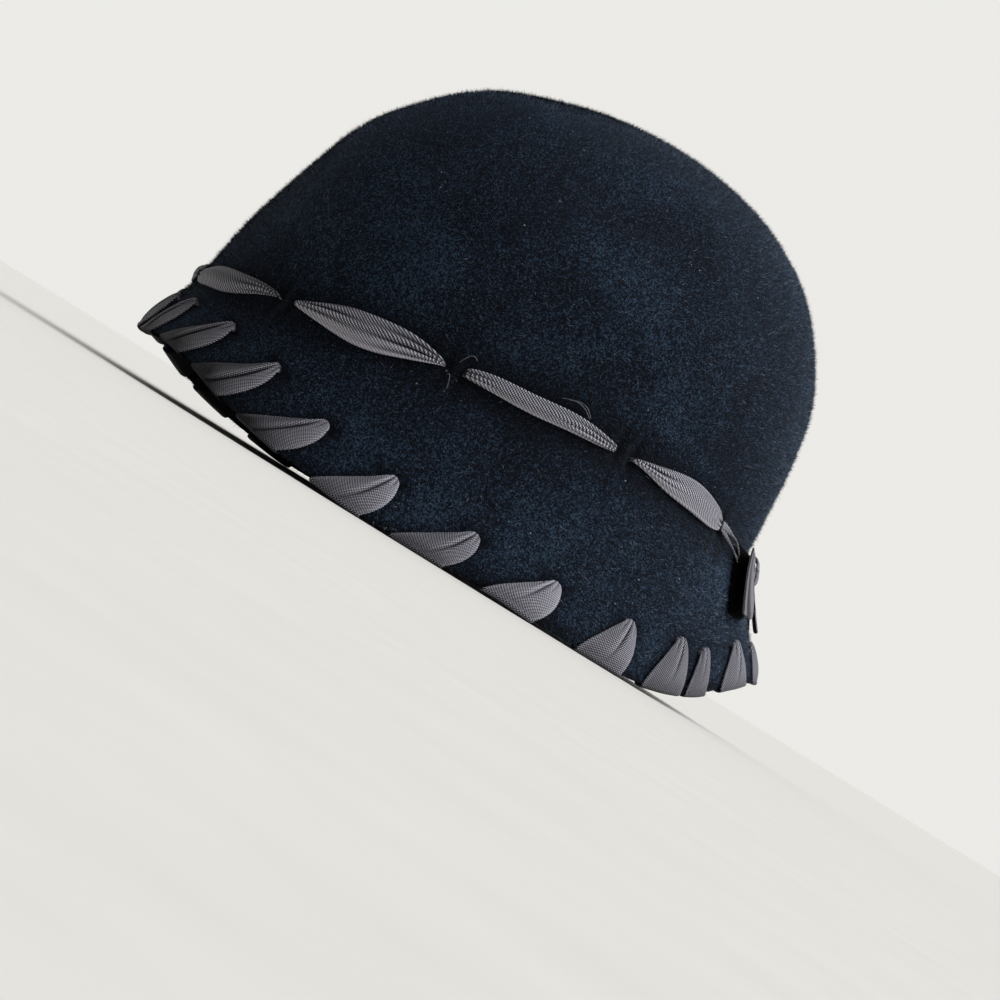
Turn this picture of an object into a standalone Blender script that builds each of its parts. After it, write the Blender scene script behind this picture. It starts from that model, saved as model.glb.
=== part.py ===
"""Soft felt cloche hat, laced with ribbon round the crown base and over the brim.

Units are metres and +Z is up. The face side of the hat looks along -Y and the
wearer's left is +X. The hat rests on the underside of the ribbon that wraps
its brim edge, at z = 0. Every length in a table is a share of a named size.
"""
import math
from typing import NamedTuple

import bmesh
import bpy

# Overall sizes of the felt body
BRIM_LENGTH = 0.2343
BRIM_WIDTH = 0.192
HEAD_LENGTH = 0.2035
HEAD_WIDTH = 0.168
HAT_HEIGHT = 0.1585
BRIM_RISE = 0.0208
HEAD_HEIGHT = 0.0600
FELT_THICKNESS = 0.0024
BRIM_SQUARENESS = 2.25
HEAD_SQUARENESS = 2.12
# How far behind the origin the centre of each outline sits
BRIM_CENTRE = -0.00002
HEAD_CENTRE = -0.00745
APEX_SETBACK = 0.005
DENT_DEPTH = 0.0020

# Ribbon sizes
RIBBON_THICKNESS = 0.0006
RIBBON_CLEARANCE = 0.0006
CROWN_RIBBON_WIDTH = 0.0102
CROWN_RIBBON_PUFF = 0.0016
PINCH_WIDTH = 0.0056
STITCH_WIDTH = 0.0180
STITCH_HEIGHT = 0.0190
STITCH_LEAN = 0.0250
SLIT_CLEARANCE = 0.0009

# Bow sizes
BOW_SIDE = 0.0300
BOW_LENGTH = 0.0500
BOW_WIDTH = 0.0250
BOW_WAIST = 0.0080
BOW_DROP = 0.0040
BOW_DROOP = 0.0100
BOW_PUFF = 0.0038
BOW_CLEARANCE = 0.0004
KNOT_LENGTH = 0.0090
KNOT_BULGE = 0.0006

# Mesh fineness
TURN_STEPS = 72
ROWS_PER_RING = 2
STRETCH_STEPS = 7
INSIDE_STEP = 0.012
STITCH_STEPS = 4
LOOKUP_STEPS = 360


class Ring(NamedTuple):
    """One level outline of the crown, as shares of the named sizes."""
    front: float
    back: float
    side: float
    z_front: float
    z_side: float
    z_back: float
    squareness: float


class Rise(NamedTuple):
    """Height of a line round the hat at one share of the way front to back."""
    turn: float
    height: float


class Dent(NamedTuple):
    """A soft hollow (or swell, if negative) pressed into the felt."""
    turn: float
    level: float
    turn_spread: float
    level_spread: float
    depth: float


class Stretch(NamedTuple):
    """One length of crown ribbon that lies outside, as shares of half the head line."""
    start: float
    end: float
    width: float


class Stitch(NamedTuple):
    """One wrap of ribbon over the brim edge, on one half of the brim."""
    base: float
    lean: float
    height: float
    width: float


# Front and back are shares of HEAD_LENGTH, side of HEAD_WIDTH, heights of HAT_HEIGHT
CROWN_RINGS = [
    Ring(0.514, 0.454, 0.495, 0.411, 0.474, 0.423, 2.12),
    Ring(0.479, 0.446, 0.482, 0.562, 0.586, 0.540, 2.10),
    Ring(0.446, 0.427, 0.450, 0.682, 0.684, 0.673, 2.08),
    Ring(0.392, 0.380, 0.395, 0.780, 0.784, 0.790, 2.05),
    Ring(0.312, 0.314, 0.321, 0.880, 0.876, 0.885, 2.02),
    Ring(0.215, 0.219, 0.229, 0.945, 0.942, 0.955, 2.00),
    Ring(0.093, 0.123, 0.119, 0.984, 0.984, 0.990, 2.00),
]

# Height of the brim edge as a share of BRIM_RISE, front to back
EDGE_RISE = [
    Rise(0.000, 0.66), Rise(0.083, 0.72), Rise(0.133, 0.65), Rise(0.211, 0.35),
    Rise(0.300, 0.11), Rise(0.378, 0.00), Rise(0.467, 0.00), Rise(0.528, 0.05),
    Rise(0.589, 0.00), Rise(0.689, 0.00), Rise(0.733, 0.10), Rise(0.778, 0.30),
    Rise(0.833, 0.71), Rise(0.889, 0.98), Rise(0.955, 0.98), Rise(1.000, 0.88),
]

# Height of the head line as a share of HEAD_HEIGHT, front to back
HEAD_RISE = [
    Rise(0.000, 0.670), Rise(0.167, 0.753), Rise(0.333, 0.867), Rise(0.500, 0.963),
    Rise(0.667, 1.000), Rise(0.833, 0.943), Rise(1.000, 0.868),
]

# Turn is a share of the full turn from the front toward +X, level counts rings up
DENTS = [
    Dent(0.235, 6.1, 0.050, 1.00, 0.90),
    Dent(0.105, 5.2, 0.030, 0.90, 0.70),
    Dent(0.330, 5.0, 0.055, 1.30, -0.60),
    Dent(0.620, 5.6, 0.060, 1.10, 0.60),
    Dent(0.840, 5.0, 0.050, 1.10, 0.70),
    Dent(0.170, 3.2, 0.050, 0.60, -0.50),
    Dent(0.040, 8.0, 0.090, 0.60, 0.45),
]

STRETCHES = [
    Stretch(0.014, 0.192, 0.85), Stretch(0.212, 0.393, 1.10),
    Stretch(0.413, 0.596, 0.74), Stretch(0.616, 0.770, 0.98),
]
BACK_STRETCH_START = 1.015
BACK_STRETCH_END = 1.200
BACK_STRETCH_WIDTH = 0.85

STITCHES = [
    Stitch(0.040, 0.58, 0.79, 0.94),
    Stitch(0.115, 0.70, 0.89, 0.94),
    Stitch(0.187, 0.77, 1.00, 0.94),
    Stitch(0.264, 0.73, 0.81, 1.00),
    Stitch(0.356, 0.57, 0.74, 1.06),
    Stitch(0.441, 0.61, 0.63, 1.06),
    Stitch(0.536, 0.54, 0.67, 1.06),
    Stitch(0.638, 0.37, 0.80, 1.04),
    Stitch(0.716, 0.27, 0.82, 0.96),
    Stitch(0.762, 0.16, 0.66, 0.56),
    Stitch(0.825, 0.13, 0.64, 0.98),
    Stitch(0.895, 0.05, 0.56, 0.90),
    Stitch(0.965, 0.00, 0.56, 0.90),
]

HEAD_LEVEL = 2.0
APEX_LEVEL = HEAD_LEVEL + len(CROWN_RINGS) + 1.0
EDGE_HEIGHT = RIBBON_CLEARANCE + RIBBON_THICKNESS
RIBBON_OFFSET = RIBBON_CLEARANCE + RIBBON_THICKNESS / 2.0


def clear_scene() -> None:
    """Remove every object that is in the scene."""
    for item in list(bpy.data.objects):
        bpy.data.objects.remove(item, do_unlink=True)


def make_material(name: str, colour: tuple, roughness: float) -> bpy.types.Material:
    """Return a plain Principled material."""
    material = bpy.data.materials.new(name)
    material.use_nodes = True
    shader = material.node_tree.nodes["Principled BSDF"]
    shader.inputs["Base Color"].default_value = (*colour, 1.0)
    shader.inputs["Roughness"].default_value = roughness
    return material


def rise_at(rows: list, turn: float) -> float:
    """Read a height table at a share of the full turn, the same on both sides."""
    share = turn % 1.0
    share = 2.0 * min(share, 1.0 - share)
    count = len(rows)
    index = 0
    while index < count - 2 and share > rows[index + 1].turn:
        index += 1
    slopes = []
    for k in (index, index + 1):
        if k == 0 or k == count - 1:
            slopes.append(0.0)
            continue
        before = (rows[k].height - rows[k - 1].height) / (rows[k].turn - rows[k - 1].turn)
        after = (rows[k + 1].height - rows[k].height) / (rows[k + 1].turn - rows[k].turn)
        if before * after <= 0.0:
            slopes.append(0.0)
        else:
            slopes.append(2.0 * before * after / (before + after))
    low, high = rows[index], rows[index + 1]
    span = high.turn - low.turn
    t = (share - low.turn) / span
    return (
        (2 * t**3 - 3 * t**2 + 1) * low.height
        + (t**3 - 2 * t**2 + t) * span * slopes[0]
        + (3 * t**2 - 2 * t**3) * high.height
        + (t**3 - t**2) * span * slopes[1]
    )


def oval(turn: float, front: float, back: float, side: float, square: float) -> tuple:
    """Return x and y on an egg-shaped outline, front reach toward -Y."""
    angle = 2.0 * math.pi * turn
    across = math.sin(angle)
    along = math.cos(angle)
    half = (front + back) / 2.0
    middle = (back - front) / 2.0
    radius = (abs(along / half) ** square + abs(across / side) ** square) ** (-1.0 / square)
    return radius * across, middle - radius * along


def edge_point(turn: float) -> tuple:
    """Return a point on the outer edge of the brim."""
    front = BRIM_LENGTH / 2.0 - BRIM_CENTRE
    back = BRIM_LENGTH / 2.0 + BRIM_CENTRE
    x, y = oval(turn, front, back, BRIM_WIDTH / 2.0, BRIM_SQUARENESS)
    return x, y, EDGE_HEIGHT + BRIM_RISE * rise_at(EDGE_RISE, turn)


def head_point(turn: float) -> tuple:
    """Return a point on the head line, where brim and crown meet."""
    front = HEAD_LENGTH / 2.0 - HEAD_CENTRE
    back = HEAD_LENGTH / 2.0 + HEAD_CENTRE
    x, y = oval(turn, front, back, HEAD_WIDTH / 2.0, HEAD_SQUARENESS)
    return x, y, HEAD_HEIGHT * rise_at(HEAD_RISE, turn)


def ring_point(index: int, turn: float) -> tuple:
    """Return a point on ring 0 (the edge) up to the apex."""
    if index <= 0:
        return edge_point(turn)
    if index == 1:
        low = edge_point(turn)
        high = head_point(turn)
        shares = (0.58, 0.58, 0.50)
        return tuple(a + (b - a) * s for a, b, s in zip(low, high, shares))
    if index == 2:
        return head_point(turn)
    if index == int(APEX_LEVEL):
        return 0.0, APEX_SETBACK, HAT_HEIGHT
    if index > int(APEX_LEVEL):
        return ring_point(2 * int(APEX_LEVEL) - index, turn + 0.5)
    ring = CROWN_RINGS[index - 3]
    x, y = oval(
        turn, ring.front * HEAD_LENGTH, ring.back * HEAD_LENGTH,
        ring.side * HEAD_WIDTH, ring.squareness,
    )
    along = math.cos(2.0 * math.pi * turn)
    ahead = max(along, 0.0) ** 2
    behind = max(-along, 0.0) ** 2
    share = ring.z_side + (ring.z_front - ring.z_side) * ahead
    share += (ring.z_back - ring.z_side) * behind
    return x, y, HAT_HEIGHT * share


def smooth_point(turn: float, level: float) -> tuple:
    """Return a point of the undented felt surface between the rings."""
    index = min(int(level), int(APEX_LEVEL) - 1)
    t = level - index
    p1 = ring_point(index, turn)
    p2 = ring_point(index + 1, turn)
    p3 = ring_point(index + 2, turn)
    if index == 0:
        p0 = tuple(2.0 * a - b for a, b in zip(p1, p2))
    else:
        p0 = ring_point(index - 1, turn)
    result = []
    for a, b, c, d in zip(p0, p1, p2, p3):
        result.append(0.5 * (
            2.0 * b + (c - a) * t + (2.0 * a - 5.0 * b + 4.0 * c - d) * t * t
            + (3.0 * b - a - 3.0 * c + d) * t**3
        ))
    return tuple(result)


def surface_normal(turn: float, level: float) -> tuple:
    """Return the outward unit normal, level at the brim edge and upright at the apex."""
    if level > APEX_LEVEL - 0.02:
        return 0.0, 0.0, 1.0
    step = 0.002
    a = smooth_point(turn + step, level)
    b = smooth_point(turn - step, level)
    c = smooth_point(turn, level + 0.02)
    d = smooth_point(turn, max(level - 0.02, 0.0))
    round_way = [p - q for p, q in zip(a, b)]
    up_way = [p - q for p, q in zip(c, d)]
    normal = [
        round_way[1] * up_way[2] - round_way[2] * up_way[1],
        round_way[2] * up_way[0] - round_way[0] * up_way[2],
        round_way[0] * up_way[1] - round_way[1] * up_way[0],
    ]
    flatten = min(max(level / 0.4, 0.0), 1.0)
    normal[2] *= flatten * flatten * (3.0 - 2.0 * flatten)
    size = math.sqrt(sum(v * v for v in normal))
    return tuple(v / size for v in normal)


def dent_depth(turn: float, level: float) -> float:
    """Return how deep the felt is pressed in at a place."""
    total = 0.0
    for dent in DENTS:
        gap = (turn - dent.turn + 0.5) % 1.0 - 0.5
        reach = (gap / dent.turn_spread) ** 2 + ((level - dent.level) / dent.level_spread) ** 2
        total += dent.depth * math.exp(-reach)
    fade = min(max((APEX_LEVEL - level) / 1.5, 0.0), 1.0)
    fade *= min(max((level - HEAD_LEVEL) / 1.0, 0.0), 1.0)
    return DENT_DEPTH * total * fade


def hat_point(turn: float, level: float, offset: float) -> tuple:
    """Return a point that stands a given distance outside the felt's outer face.

    A level below zero counts metres straight down from the brim edge.
    """
    drop = 0.0
    if level < 0.0:
        drop = level
        level = 0.0
    base = smooth_point(turn, level)
    normal = surface_normal(turn, level)
    move = offset - dent_depth(turn, level)
    point = [b + n * move for b, n in zip(base, normal)]
    point[2] += drop
    return tuple(point)


class Loop:
    """Lengths measured round one line of the hat, starting at the front."""

    def __init__(self, level: float) -> None:
        """Measure the line at this level."""
        self.lengths = [0.0]
        last = smooth_point(0.0, level)
        for k in range(1, LOOKUP_STEPS + 1):
            here = smooth_point(k / LOOKUP_STEPS, level)
            self.lengths.append(self.lengths[-1] + math.dist(here, last))
            last = here
        self.total = self.lengths[-1]

    def turn_at(self, length: float) -> float:
        """Return the share of a turn at a length along the line."""
        rounds = math.floor(length / self.total)
        rest = length - rounds * self.total
        low, high = 0, LOOKUP_STEPS
        while high - low > 1:
            middle = (low + high) // 2
            if self.lengths[middle] <= rest:
                low = middle
            else:
                high = middle
        share = (rest - self.lengths[low]) / (self.lengths[high] - self.lengths[low])
        return rounds + (low + share) / LOOKUP_STEPS


def brim_level(turn: float, height: float) -> float:
    """Return the level at a height in metres measured up the brim from its edge."""
    if height < 0.0:
        return height
    reach = math.dist(edge_point(turn), head_point(turn))
    return HEAD_LEVEL * height / reach


def head_level(turn: float, height: float) -> float:
    """Return the level at a height in metres above (or below) the head line."""
    if height < 0.0:
        reach = math.dist(edge_point(turn), head_point(turn)) / HEAD_LEVEL
    else:
        reach = math.dist(ring_point(3, turn), head_point(turn))
    return HEAD_LEVEL + height / reach


def finish_object(name: str, verts: list, faces: list, material) -> bpy.types.Object:
    """Make a named, smooth-shaded object whose faces look outward."""
    mesh = bpy.data.meshes.new(name)
    mesh.from_pydata(verts, [], faces)
    work = bmesh.new()
    work.from_mesh(mesh)
    bmesh.ops.recalc_face_normals(work, faces=work.faces)
    work.to_mesh(mesh)
    work.free()
    for polygon in mesh.polygons:
        polygon.use_smooth = True
    mesh.update()
    if material is not None:
        mesh.materials.append(material)
    item = bpy.data.objects.new(name, mesh)
    bpy.context.scene.collection.objects.link(item)
    return item


def stitch_list(edge: Loop) -> list:
    """Return (base, pinch, height, width) in metres for every wrap, going round."""
    found = []
    half = edge.total / 2.0
    for row in STITCHES:
        base = row.base * half
        found.append((base, base + row.lean * STITCH_LEAN, row.height * STITCH_HEIGHT,
                      row.width * STITCH_WIDTH))
    for row in reversed(STITCHES):
        base = edge.total - row.base * half
        found.append((base, base + row.lean * STITCH_LEAN, row.height * STITCH_HEIGHT,
                      row.width * STITCH_WIDTH))
    return found


def stretch_list(head: Loop) -> list:
    """Return (start, end, width) in metres for every outside length of crown ribbon."""
    half = head.total / 2.0
    found = []
    for row in STRETCHES:
        found.append((row.start * half, row.end * half, row.width * CROWN_RIBBON_WIDTH))
    found.append((BACK_STRETCH_START * half, BACK_STRETCH_END * half,
                  BACK_STRETCH_WIDTH * CROWN_RIBBON_WIDTH))
    for row in reversed(STRETCHES):
        found.append((head.total - row.end * half, head.total - row.start * half,
                      row.width * CROWN_RIBBON_WIDTH))
    return found


def build_felt(edge: Loop, head: Loop, material) -> bpy.types.Object:
    """Build the one-piece felt body with the slits that the ribbon runs through."""
    rows = int(APEX_LEVEL) * ROWS_PER_RING
    verts = []
    faces = []
    for offset in (0.0, -FELT_THICKNESS):
        for row in range(rows):
            for step in range(TURN_STEPS):
                verts.append(hat_point(step / TURN_STEPS, row / ROWS_PER_RING, offset))
        verts.append(hat_point(0.0, APEX_LEVEL, offset))
    shell = rows * TURN_STEPS + 1
    for side in (0, 1):
        start = side * shell
        for row in range(rows - 1):
            for step in range(TURN_STEPS):
                right = (step + 1) % TURN_STEPS
                a = start + row * TURN_STEPS
                b = a + TURN_STEPS
                faces.append((a + step, a + right, b + right, b + step))
        top = start + shell - 1
        last = start + (rows - 1) * TURN_STEPS
        for step in range(TURN_STEPS):
            faces.append((last + step, last + (step + 1) % TURN_STEPS, top))
    for step in range(TURN_STEPS):
        right = (step + 1) % TURN_STEPS
        faces.append((step, right, shell + right, shell + step))
    felt = finish_object("felt_body", verts, faces, material)
    cutter = build_slit_cutter(edge, head)
    cut = felt.modifiers.new("ribbon_slits", "BOOLEAN")
    cut.operation = "DIFFERENCE"
    cut.solver = "EXACT"
    cut.object = cutter
    return felt


def slit_box(verts: list, faces: list, corners: list) -> None:
    """Add one closed box that passes through the felt wall at four (turn, level) corners."""
    first = len(verts)
    over = 1.2 * FELT_THICKNESS
    for offset in (over, -FELT_THICKNESS - over):
        for turn, level in corners:
            verts.append(hat_point(turn, level, offset))
    faces.append((first, first + 1, first + 2, first + 3))
    faces.append((first + 7, first + 6, first + 5, first + 4))
    for k in range(4):
        n = (k + 1) % 4
        faces.append((first + k, first + 4 + k, first + 4 + n, first + n))


def build_slit_cutter(edge: Loop, head: Loop) -> bpy.types.Object:
    """Build the boxes that open the slits, wider than the ribbon all round."""
    verts = []
    faces = []
    thin = RIBBON_THICKNESS / 2.0 + SLIT_CLEARANCE
    wide = PINCH_WIDTH / 2.0 + SLIT_CLEARANCE
    for start, end, _width in stretch_list(head):
        for place in (start, end):
            corners = []
            for along, up in ((-thin, -wide), (thin, -wide), (thin, wide), (-thin, wide)):
                turn = head.turn_at(place + along)
                corners.append((turn, head_level(turn, up)))
            slit_box(verts, faces, corners)
    for _base, pinch, height, _width in stitch_list(edge):
        corners = []
        for along, up in ((-wide, -thin), (wide, -thin), (wide, thin), (-wide, thin)):
            turn = edge.turn_at(pinch + along)
            corners.append((turn, brim_level(turn, height + up)))
        slit_box(verts, faces, corners)
    cutter = finish_object("slit_cutter", verts, faces, None)
    cutter.hide_render = True
    cutter.display_type = "WIRE"
    return cutter


def mitre(path: list, closed: bool) -> list:
    """Return the two sides of a thick line drawn through (length, offset) places."""
    half = RIBBON_THICKNESS / 2.0
    count = len(path)
    sides = []
    for k in range(count):
        here = path[k]
        before = path[(k - 1) % count] if closed or k > 0 else None
        after = path[(k + 1) % count] if closed or k < count - 1 else None
        ways = []
        for a, b in ((before, here), (here, after)):
            if a is None or b is None:
                continue
            dx = b[0] - a[0]
            dy = b[1] - a[1]
            size = math.hypot(dx, dy)
            ways.append((dx / size, dy / size))
        mx = sum(w[0] for w in ways)
        my = sum(w[1] for w in ways)
        size = math.hypot(mx, my)
        mx, my = mx / size, my / size
        spread = max(mx * ways[0][0] + my * ways[0][1], 0.6)
        reach = half / spread
        sides.append(((here[0] - my * reach, here[1] + mx * reach),
                      (here[0] + my * reach, here[1] - mx * reach)))
    return sides


def band(name: str, rings: list, material) -> bpy.types.Object:
    """Join rings of six points into one closed band."""
    verts = []
    faces = []
    size = len(rings[0])
    for ring in rings:
        verts.extend(ring)
    count = len(rings)
    for k in range(count):
        a = k * size
        b = ((k + 1) % count) * size
        for j in range(size):
            n = (j + 1) % size
            faces.append((a + j, a + n, b + n, b + j))
    return finish_object(name, verts, faces, material)


def build_crown_ribbon(head: Loop, material) -> bpy.types.Object:
    """Build the ribbon that runs in and out round the crown base, as one closed ring."""
    path = []
    widths = []
    inside = -FELT_THICKNESS - RIBBON_OFFSET
    total = head.total
    stretches = stretch_list(head)
    for number, (start, end, width) in enumerate(stretches):
        path.append((start, inside))
        widths.append(PINCH_WIDTH)
        path.append((start, RIBBON_OFFSET))
        widths.append(PINCH_WIDTH)
        for k in range(1, STRETCH_STEPS):
            share = k / STRETCH_STEPS
            swell = math.sin(math.pi * share)
            path.append((start + (end - start) * share, RIBBON_OFFSET + CROWN_RIBBON_PUFF * swell))
            widths.append(PINCH_WIDTH + (width - PINCH_WIDTH) * swell**0.6)
        path.append((end, RIBBON_OFFSET))
        widths.append(PINCH_WIDTH)
        path.append((end, inside))
        widths.append(PINCH_WIDTH)
        hidden = (stretches[(number + 1) % len(stretches)][0] - end) % total
        steps = max(int(hidden / INSIDE_STEP), 1)
        for k in range(1, steps):
            path.append((end + hidden * k / steps, inside))
            widths.append(PINCH_WIDTH)
    looped = [(path[-1][0] - total, path[-1][1])] + path + [(path[0][0] + total, path[0][1])]
    sides = mitre(looped, False)[1:-1]
    rings = []
    for (outer, inner), width in zip(sides, widths):
        ring = []
        for (length, offset), order in ((outer, (-1, 0, 1)), (inner, (1, 0, -1))):
            turn = head.turn_at(length)
            for j in order:
                ring.append(hat_point(turn, head_level(turn, j * width / 2.0), offset))
        rings.append(ring)
    return band("crown_ribbon", rings, material)


def build_brim_ribbon(edge: Loop, material) -> bpy.types.Object:
    """Build the ribbon whipped over the brim edge, as one closed spiral."""
    inside = -FELT_THICKNESS - RIBBON_OFFSET
    below = -RIBBON_OFFSET
    stitches = stitch_list(edge)
    count = len(stitches)
    path = []
    lengths = []
    widths = []
    for k in range(count - 1, -1, -1):
        base, pinch, height, width = stitches[k]
        path += [(height, inside), (height, RIBBON_OFFSET)]
        lengths += [pinch, pinch]
        widths += [PINCH_WIDTH, PINCH_WIDTH]
        for j in range(1, STITCH_STEPS):
            share = j / STITCH_STEPS
            path.append((height * (1.0 - share), RIBBON_OFFSET))
            lengths.append(pinch + (base - pinch) * share**1.15)
            widths.append(PINCH_WIDTH + (width - PINCH_WIDTH) * math.sin(share * math.pi / 2.0))
        path += [(below, RIBBON_OFFSET), (below, inside)]
        lengths += [base, base]
        widths += [width, width]
        lower = stitches[k - 1]
        target = lower[1] - (edge.total if k == 0 else 0.0)
        for j in range(1, STITCH_STEPS):
            share = j / STITCH_STEPS
            path.append((lower[2] * share, inside))
            lengths.append(base + (target - base) * share)
            widths.append(width + (PINCH_WIDTH - width) * share)
    sides = mitre(path, True)
    rings = []
    for (outer, inner), length, width in zip(sides, lengths, widths):
        ring = []
        for (height, offset), order in ((outer, (-1, 0, 1)), (inner, (1, 0, -1))):
            for j in order:
                turn = edge.turn_at(length + j * width / 2.0)
                ring.append(hat_point(turn, brim_level(turn, height), offset))
        rings.append(ring)
    return band("brim_ribbon", rings, material)


def bow_ring(head: Loop, sides: tuple, width: float, drop: float) -> list:
    """Return the six points of one station of the bow, hung below the head line."""
    ring = []
    for (length, offset), order in ((sides[0], (-1, 0, 1)), (sides[1], (1, 0, -1))):
        turn = head.turn_at(length)
        for j in order:
            level = head_level(turn, -drop + j * width / 2.0)
            ring.append(hat_point(turn, level, offset))
    return ring


def bow_swell(share: float, waist: float) -> float:
    """Return how far a loop has opened at a share of its reach from the knot."""
    opened = min(max((share - waist) / (0.75 - waist), 0.0), 1.0)
    return math.sin(math.pi / 2.0 * opened)


def build_bow_loops(head: Loop, material) -> bpy.types.Object:
    """Build both loops of the bow as one flattened ring of ribbon."""
    centre = head.total / 2.0 - BOW_SIDE
    half = BOW_LENGTH / 2.0
    gap = RIBBON_THICKNESS + BOW_CLEARANCE
    near = RIBBON_OFFSET + gap
    waist = 1.2 * KNOT_LENGTH / BOW_LENGTH
    shares = (0.0, waist, 0.42, 0.66, 0.87)
    path = []
    swells = []
    for way in (1.0, -1.0):
        outer = []
        inner = []
        for share in shares:
            swell = bow_swell(share, waist)
            outer.append((share, near + gap + BOW_PUFF * share**1.5, swell))
            inner.append((share, near - gap * swell, swell))
        tip = (1.0, (outer[-1][1] + inner[-1][1]) / 2.0, 1.0)
        if way > 0.0:
            line = outer + [tip] + inner[:0:-1]
        else:
            line = inner + [tip] + outer[:0:-1]
        for share, offset, swell in line:
            path.append((centre + way * share * half, offset))
            swells.append(swell)
    rings = []
    for pair, swell in zip(mitre(path, True), swells):
        width = BOW_WAIST + (BOW_WIDTH - BOW_WAIST) * swell
        rings.append(bow_ring(head, pair, width, BOW_DROP + BOW_DROOP * swell))
    return band("bow_loops", rings, material)


def build_bow_knot(head: Loop, material) -> bpy.types.Object:
    """Build the short band that gathers the waist of the bow."""
    centre = head.total / 2.0 - BOW_SIDE
    gap = RIBBON_THICKNESS + BOW_CLEARANCE
    near = RIBBON_OFFSET
    far = near + 3.0 * gap
    top = -BOW_DROP + BOW_WAIST / 2.0 + gap
    low = -BOW_DROP - BOW_WAIST / 2.0 - gap
    middle = (top + low) / 2.0
    path = [(top, near), (top, far), (middle, far + KNOT_BULGE), (low, far), (low, near)]
    sides = mitre(path, True)
    rings = []
    for pair in sides:
        ring = []
        for (height, offset), order in ((pair[0], (-1, 0, 1)), (pair[1], (1, 0, -1))):
            for j in order:
                turn = head.turn_at(centre + j * KNOT_LENGTH / 2.0)
                ring.append(hat_point(turn, head_level(turn, height), offset))
        rings.append(ring)
    return band("bow_knot", rings, material)


def main() -> None:
    """Build every piece of the hat."""
    clear_scene()
    felt = make_material("navy_felt", (0.012, 0.018, 0.032), 0.9)
    laced = make_material("grey_laced_ribbon", (0.10, 0.10, 0.12), 0.7)
    whipped = make_material("grey_edge_ribbon", (0.10, 0.10, 0.12), 0.7)
    looped = make_material("grey_bow_ribbon", (0.09, 0.09, 0.11), 0.7)
    edge = Loop(0.0)
    head = Loop(HEAD_LEVEL)
    build_felt(edge, head, felt)
    build_crown_ribbon(head, laced)
    build_brim_ribbon(edge, whipped)
    build_bow_loops(head, looped)
    build_bow_knot(head, looped)


main()
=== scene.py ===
"""Looks of a soft fur-felt cloche hat laced with grey ribbon.

The CAD solids give the shape and place of every piece. This script dresses
them: napped felt, pleated ribbon that runs in and out of the crown base, ribbon
whipped over the brim edge, and a flat bow at the back. Units are metres, +Z is
up, the face side of the hat looks along -Y and the wearer's left is +X.
"""
import itertools
import logging
import math
from dataclasses import dataclass, field

import bpy
import numpy as np
from mathutils import Matrix, Vector


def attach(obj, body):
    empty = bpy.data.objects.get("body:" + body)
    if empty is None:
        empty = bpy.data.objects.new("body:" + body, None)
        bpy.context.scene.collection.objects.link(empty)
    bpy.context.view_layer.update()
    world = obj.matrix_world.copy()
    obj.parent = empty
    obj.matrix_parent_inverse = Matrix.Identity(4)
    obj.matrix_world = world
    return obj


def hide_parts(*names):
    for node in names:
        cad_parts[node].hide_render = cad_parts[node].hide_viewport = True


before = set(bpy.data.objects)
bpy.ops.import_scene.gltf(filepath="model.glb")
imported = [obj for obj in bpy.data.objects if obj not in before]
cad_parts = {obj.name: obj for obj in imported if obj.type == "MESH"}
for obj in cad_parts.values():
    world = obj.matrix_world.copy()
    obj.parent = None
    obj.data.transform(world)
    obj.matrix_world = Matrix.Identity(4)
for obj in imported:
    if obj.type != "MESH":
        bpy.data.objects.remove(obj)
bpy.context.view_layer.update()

LOG = logging.getLogger("cloche")
BODY = "root"
EVEN_TURNS = np.linspace(0.0, 1.0, 721)
# Steps over which the felt's slopes are measured, in turns and in rings.
TURN_STEP = 0.002
LEVEL_STEP = 0.02
TINY = 1e-12
# Blender's wave texture repeats every 0.314 units at a scale of 1.
WAVE_PERIOD = 0.314


@dataclass(frozen=True)
class Ring:
    """One level outline of the crown, as shares of the named sizes."""

    front: float
    back: float
    side: float
    z_front: float
    z_side: float
    z_back: float
    squareness: float


@dataclass(frozen=True)
class Dent:
    """A soft hollow, or a swell if negative, in the felt."""

    turn: float
    level: float
    turn_spread: float
    level_spread: float
    depth: float


@dataclass(frozen=True)
class StretchLook:
    """How one length of ribbon lies: the gathers at its ends and its rolled edge.

    Skews place the main crease across the ribbon from -1 at its lower edge to 1,
    and reaches say how far it runs, as a share of the length. Roll sets the
    highlight painted on the rolled edges, and shade is the painted shade of the
    whole length.
    """

    skew_in: float
    reach_in: float
    skew_out: float
    reach_out: float
    blunt_in: float
    blunt_out: float
    roll: float
    shade: float
    lean: float
    girth: float

    def mirrored(self) -> "StretchLook":
        """Return the same look for a length that runs the other way.

        Returns:
            The look with its two ends exchanged.
        """
        return StretchLook(self.skew_out, self.reach_out, self.skew_in, self.reach_in,
                           self.blunt_out, self.blunt_in, self.roll, self.shade, -self.lean,
                           self.girth)

    def leaf_share(self, share: np.ndarray) -> np.ndarray:
        """Move the widest place along the length, towards its far end above 1.

        Args:
            share: Places from 0 to 1 along the length.

        Returns:
            The places to read the leaf outline at.
        """
        if self.lean < 0.0:
            return 1.0 - (1.0 - share) ** -self.lean
        return share**self.lean


@dataclass(frozen=True)
class Stretch:
    """One length of crown ribbon outside the felt, in metres along the head line."""

    start: float
    end: float
    width: float
    look: StretchLook
    seed: int


@dataclass(frozen=True)
class Stitch:
    """One wrap of ribbon over the brim edge, in metres along the edge."""

    base: float
    pinch: float
    height: float
    width: float
    # Painted shade of the wrap, and how steeply it slopes across the wrap.
    shade: float
    tilt: float
    seed: int


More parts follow.
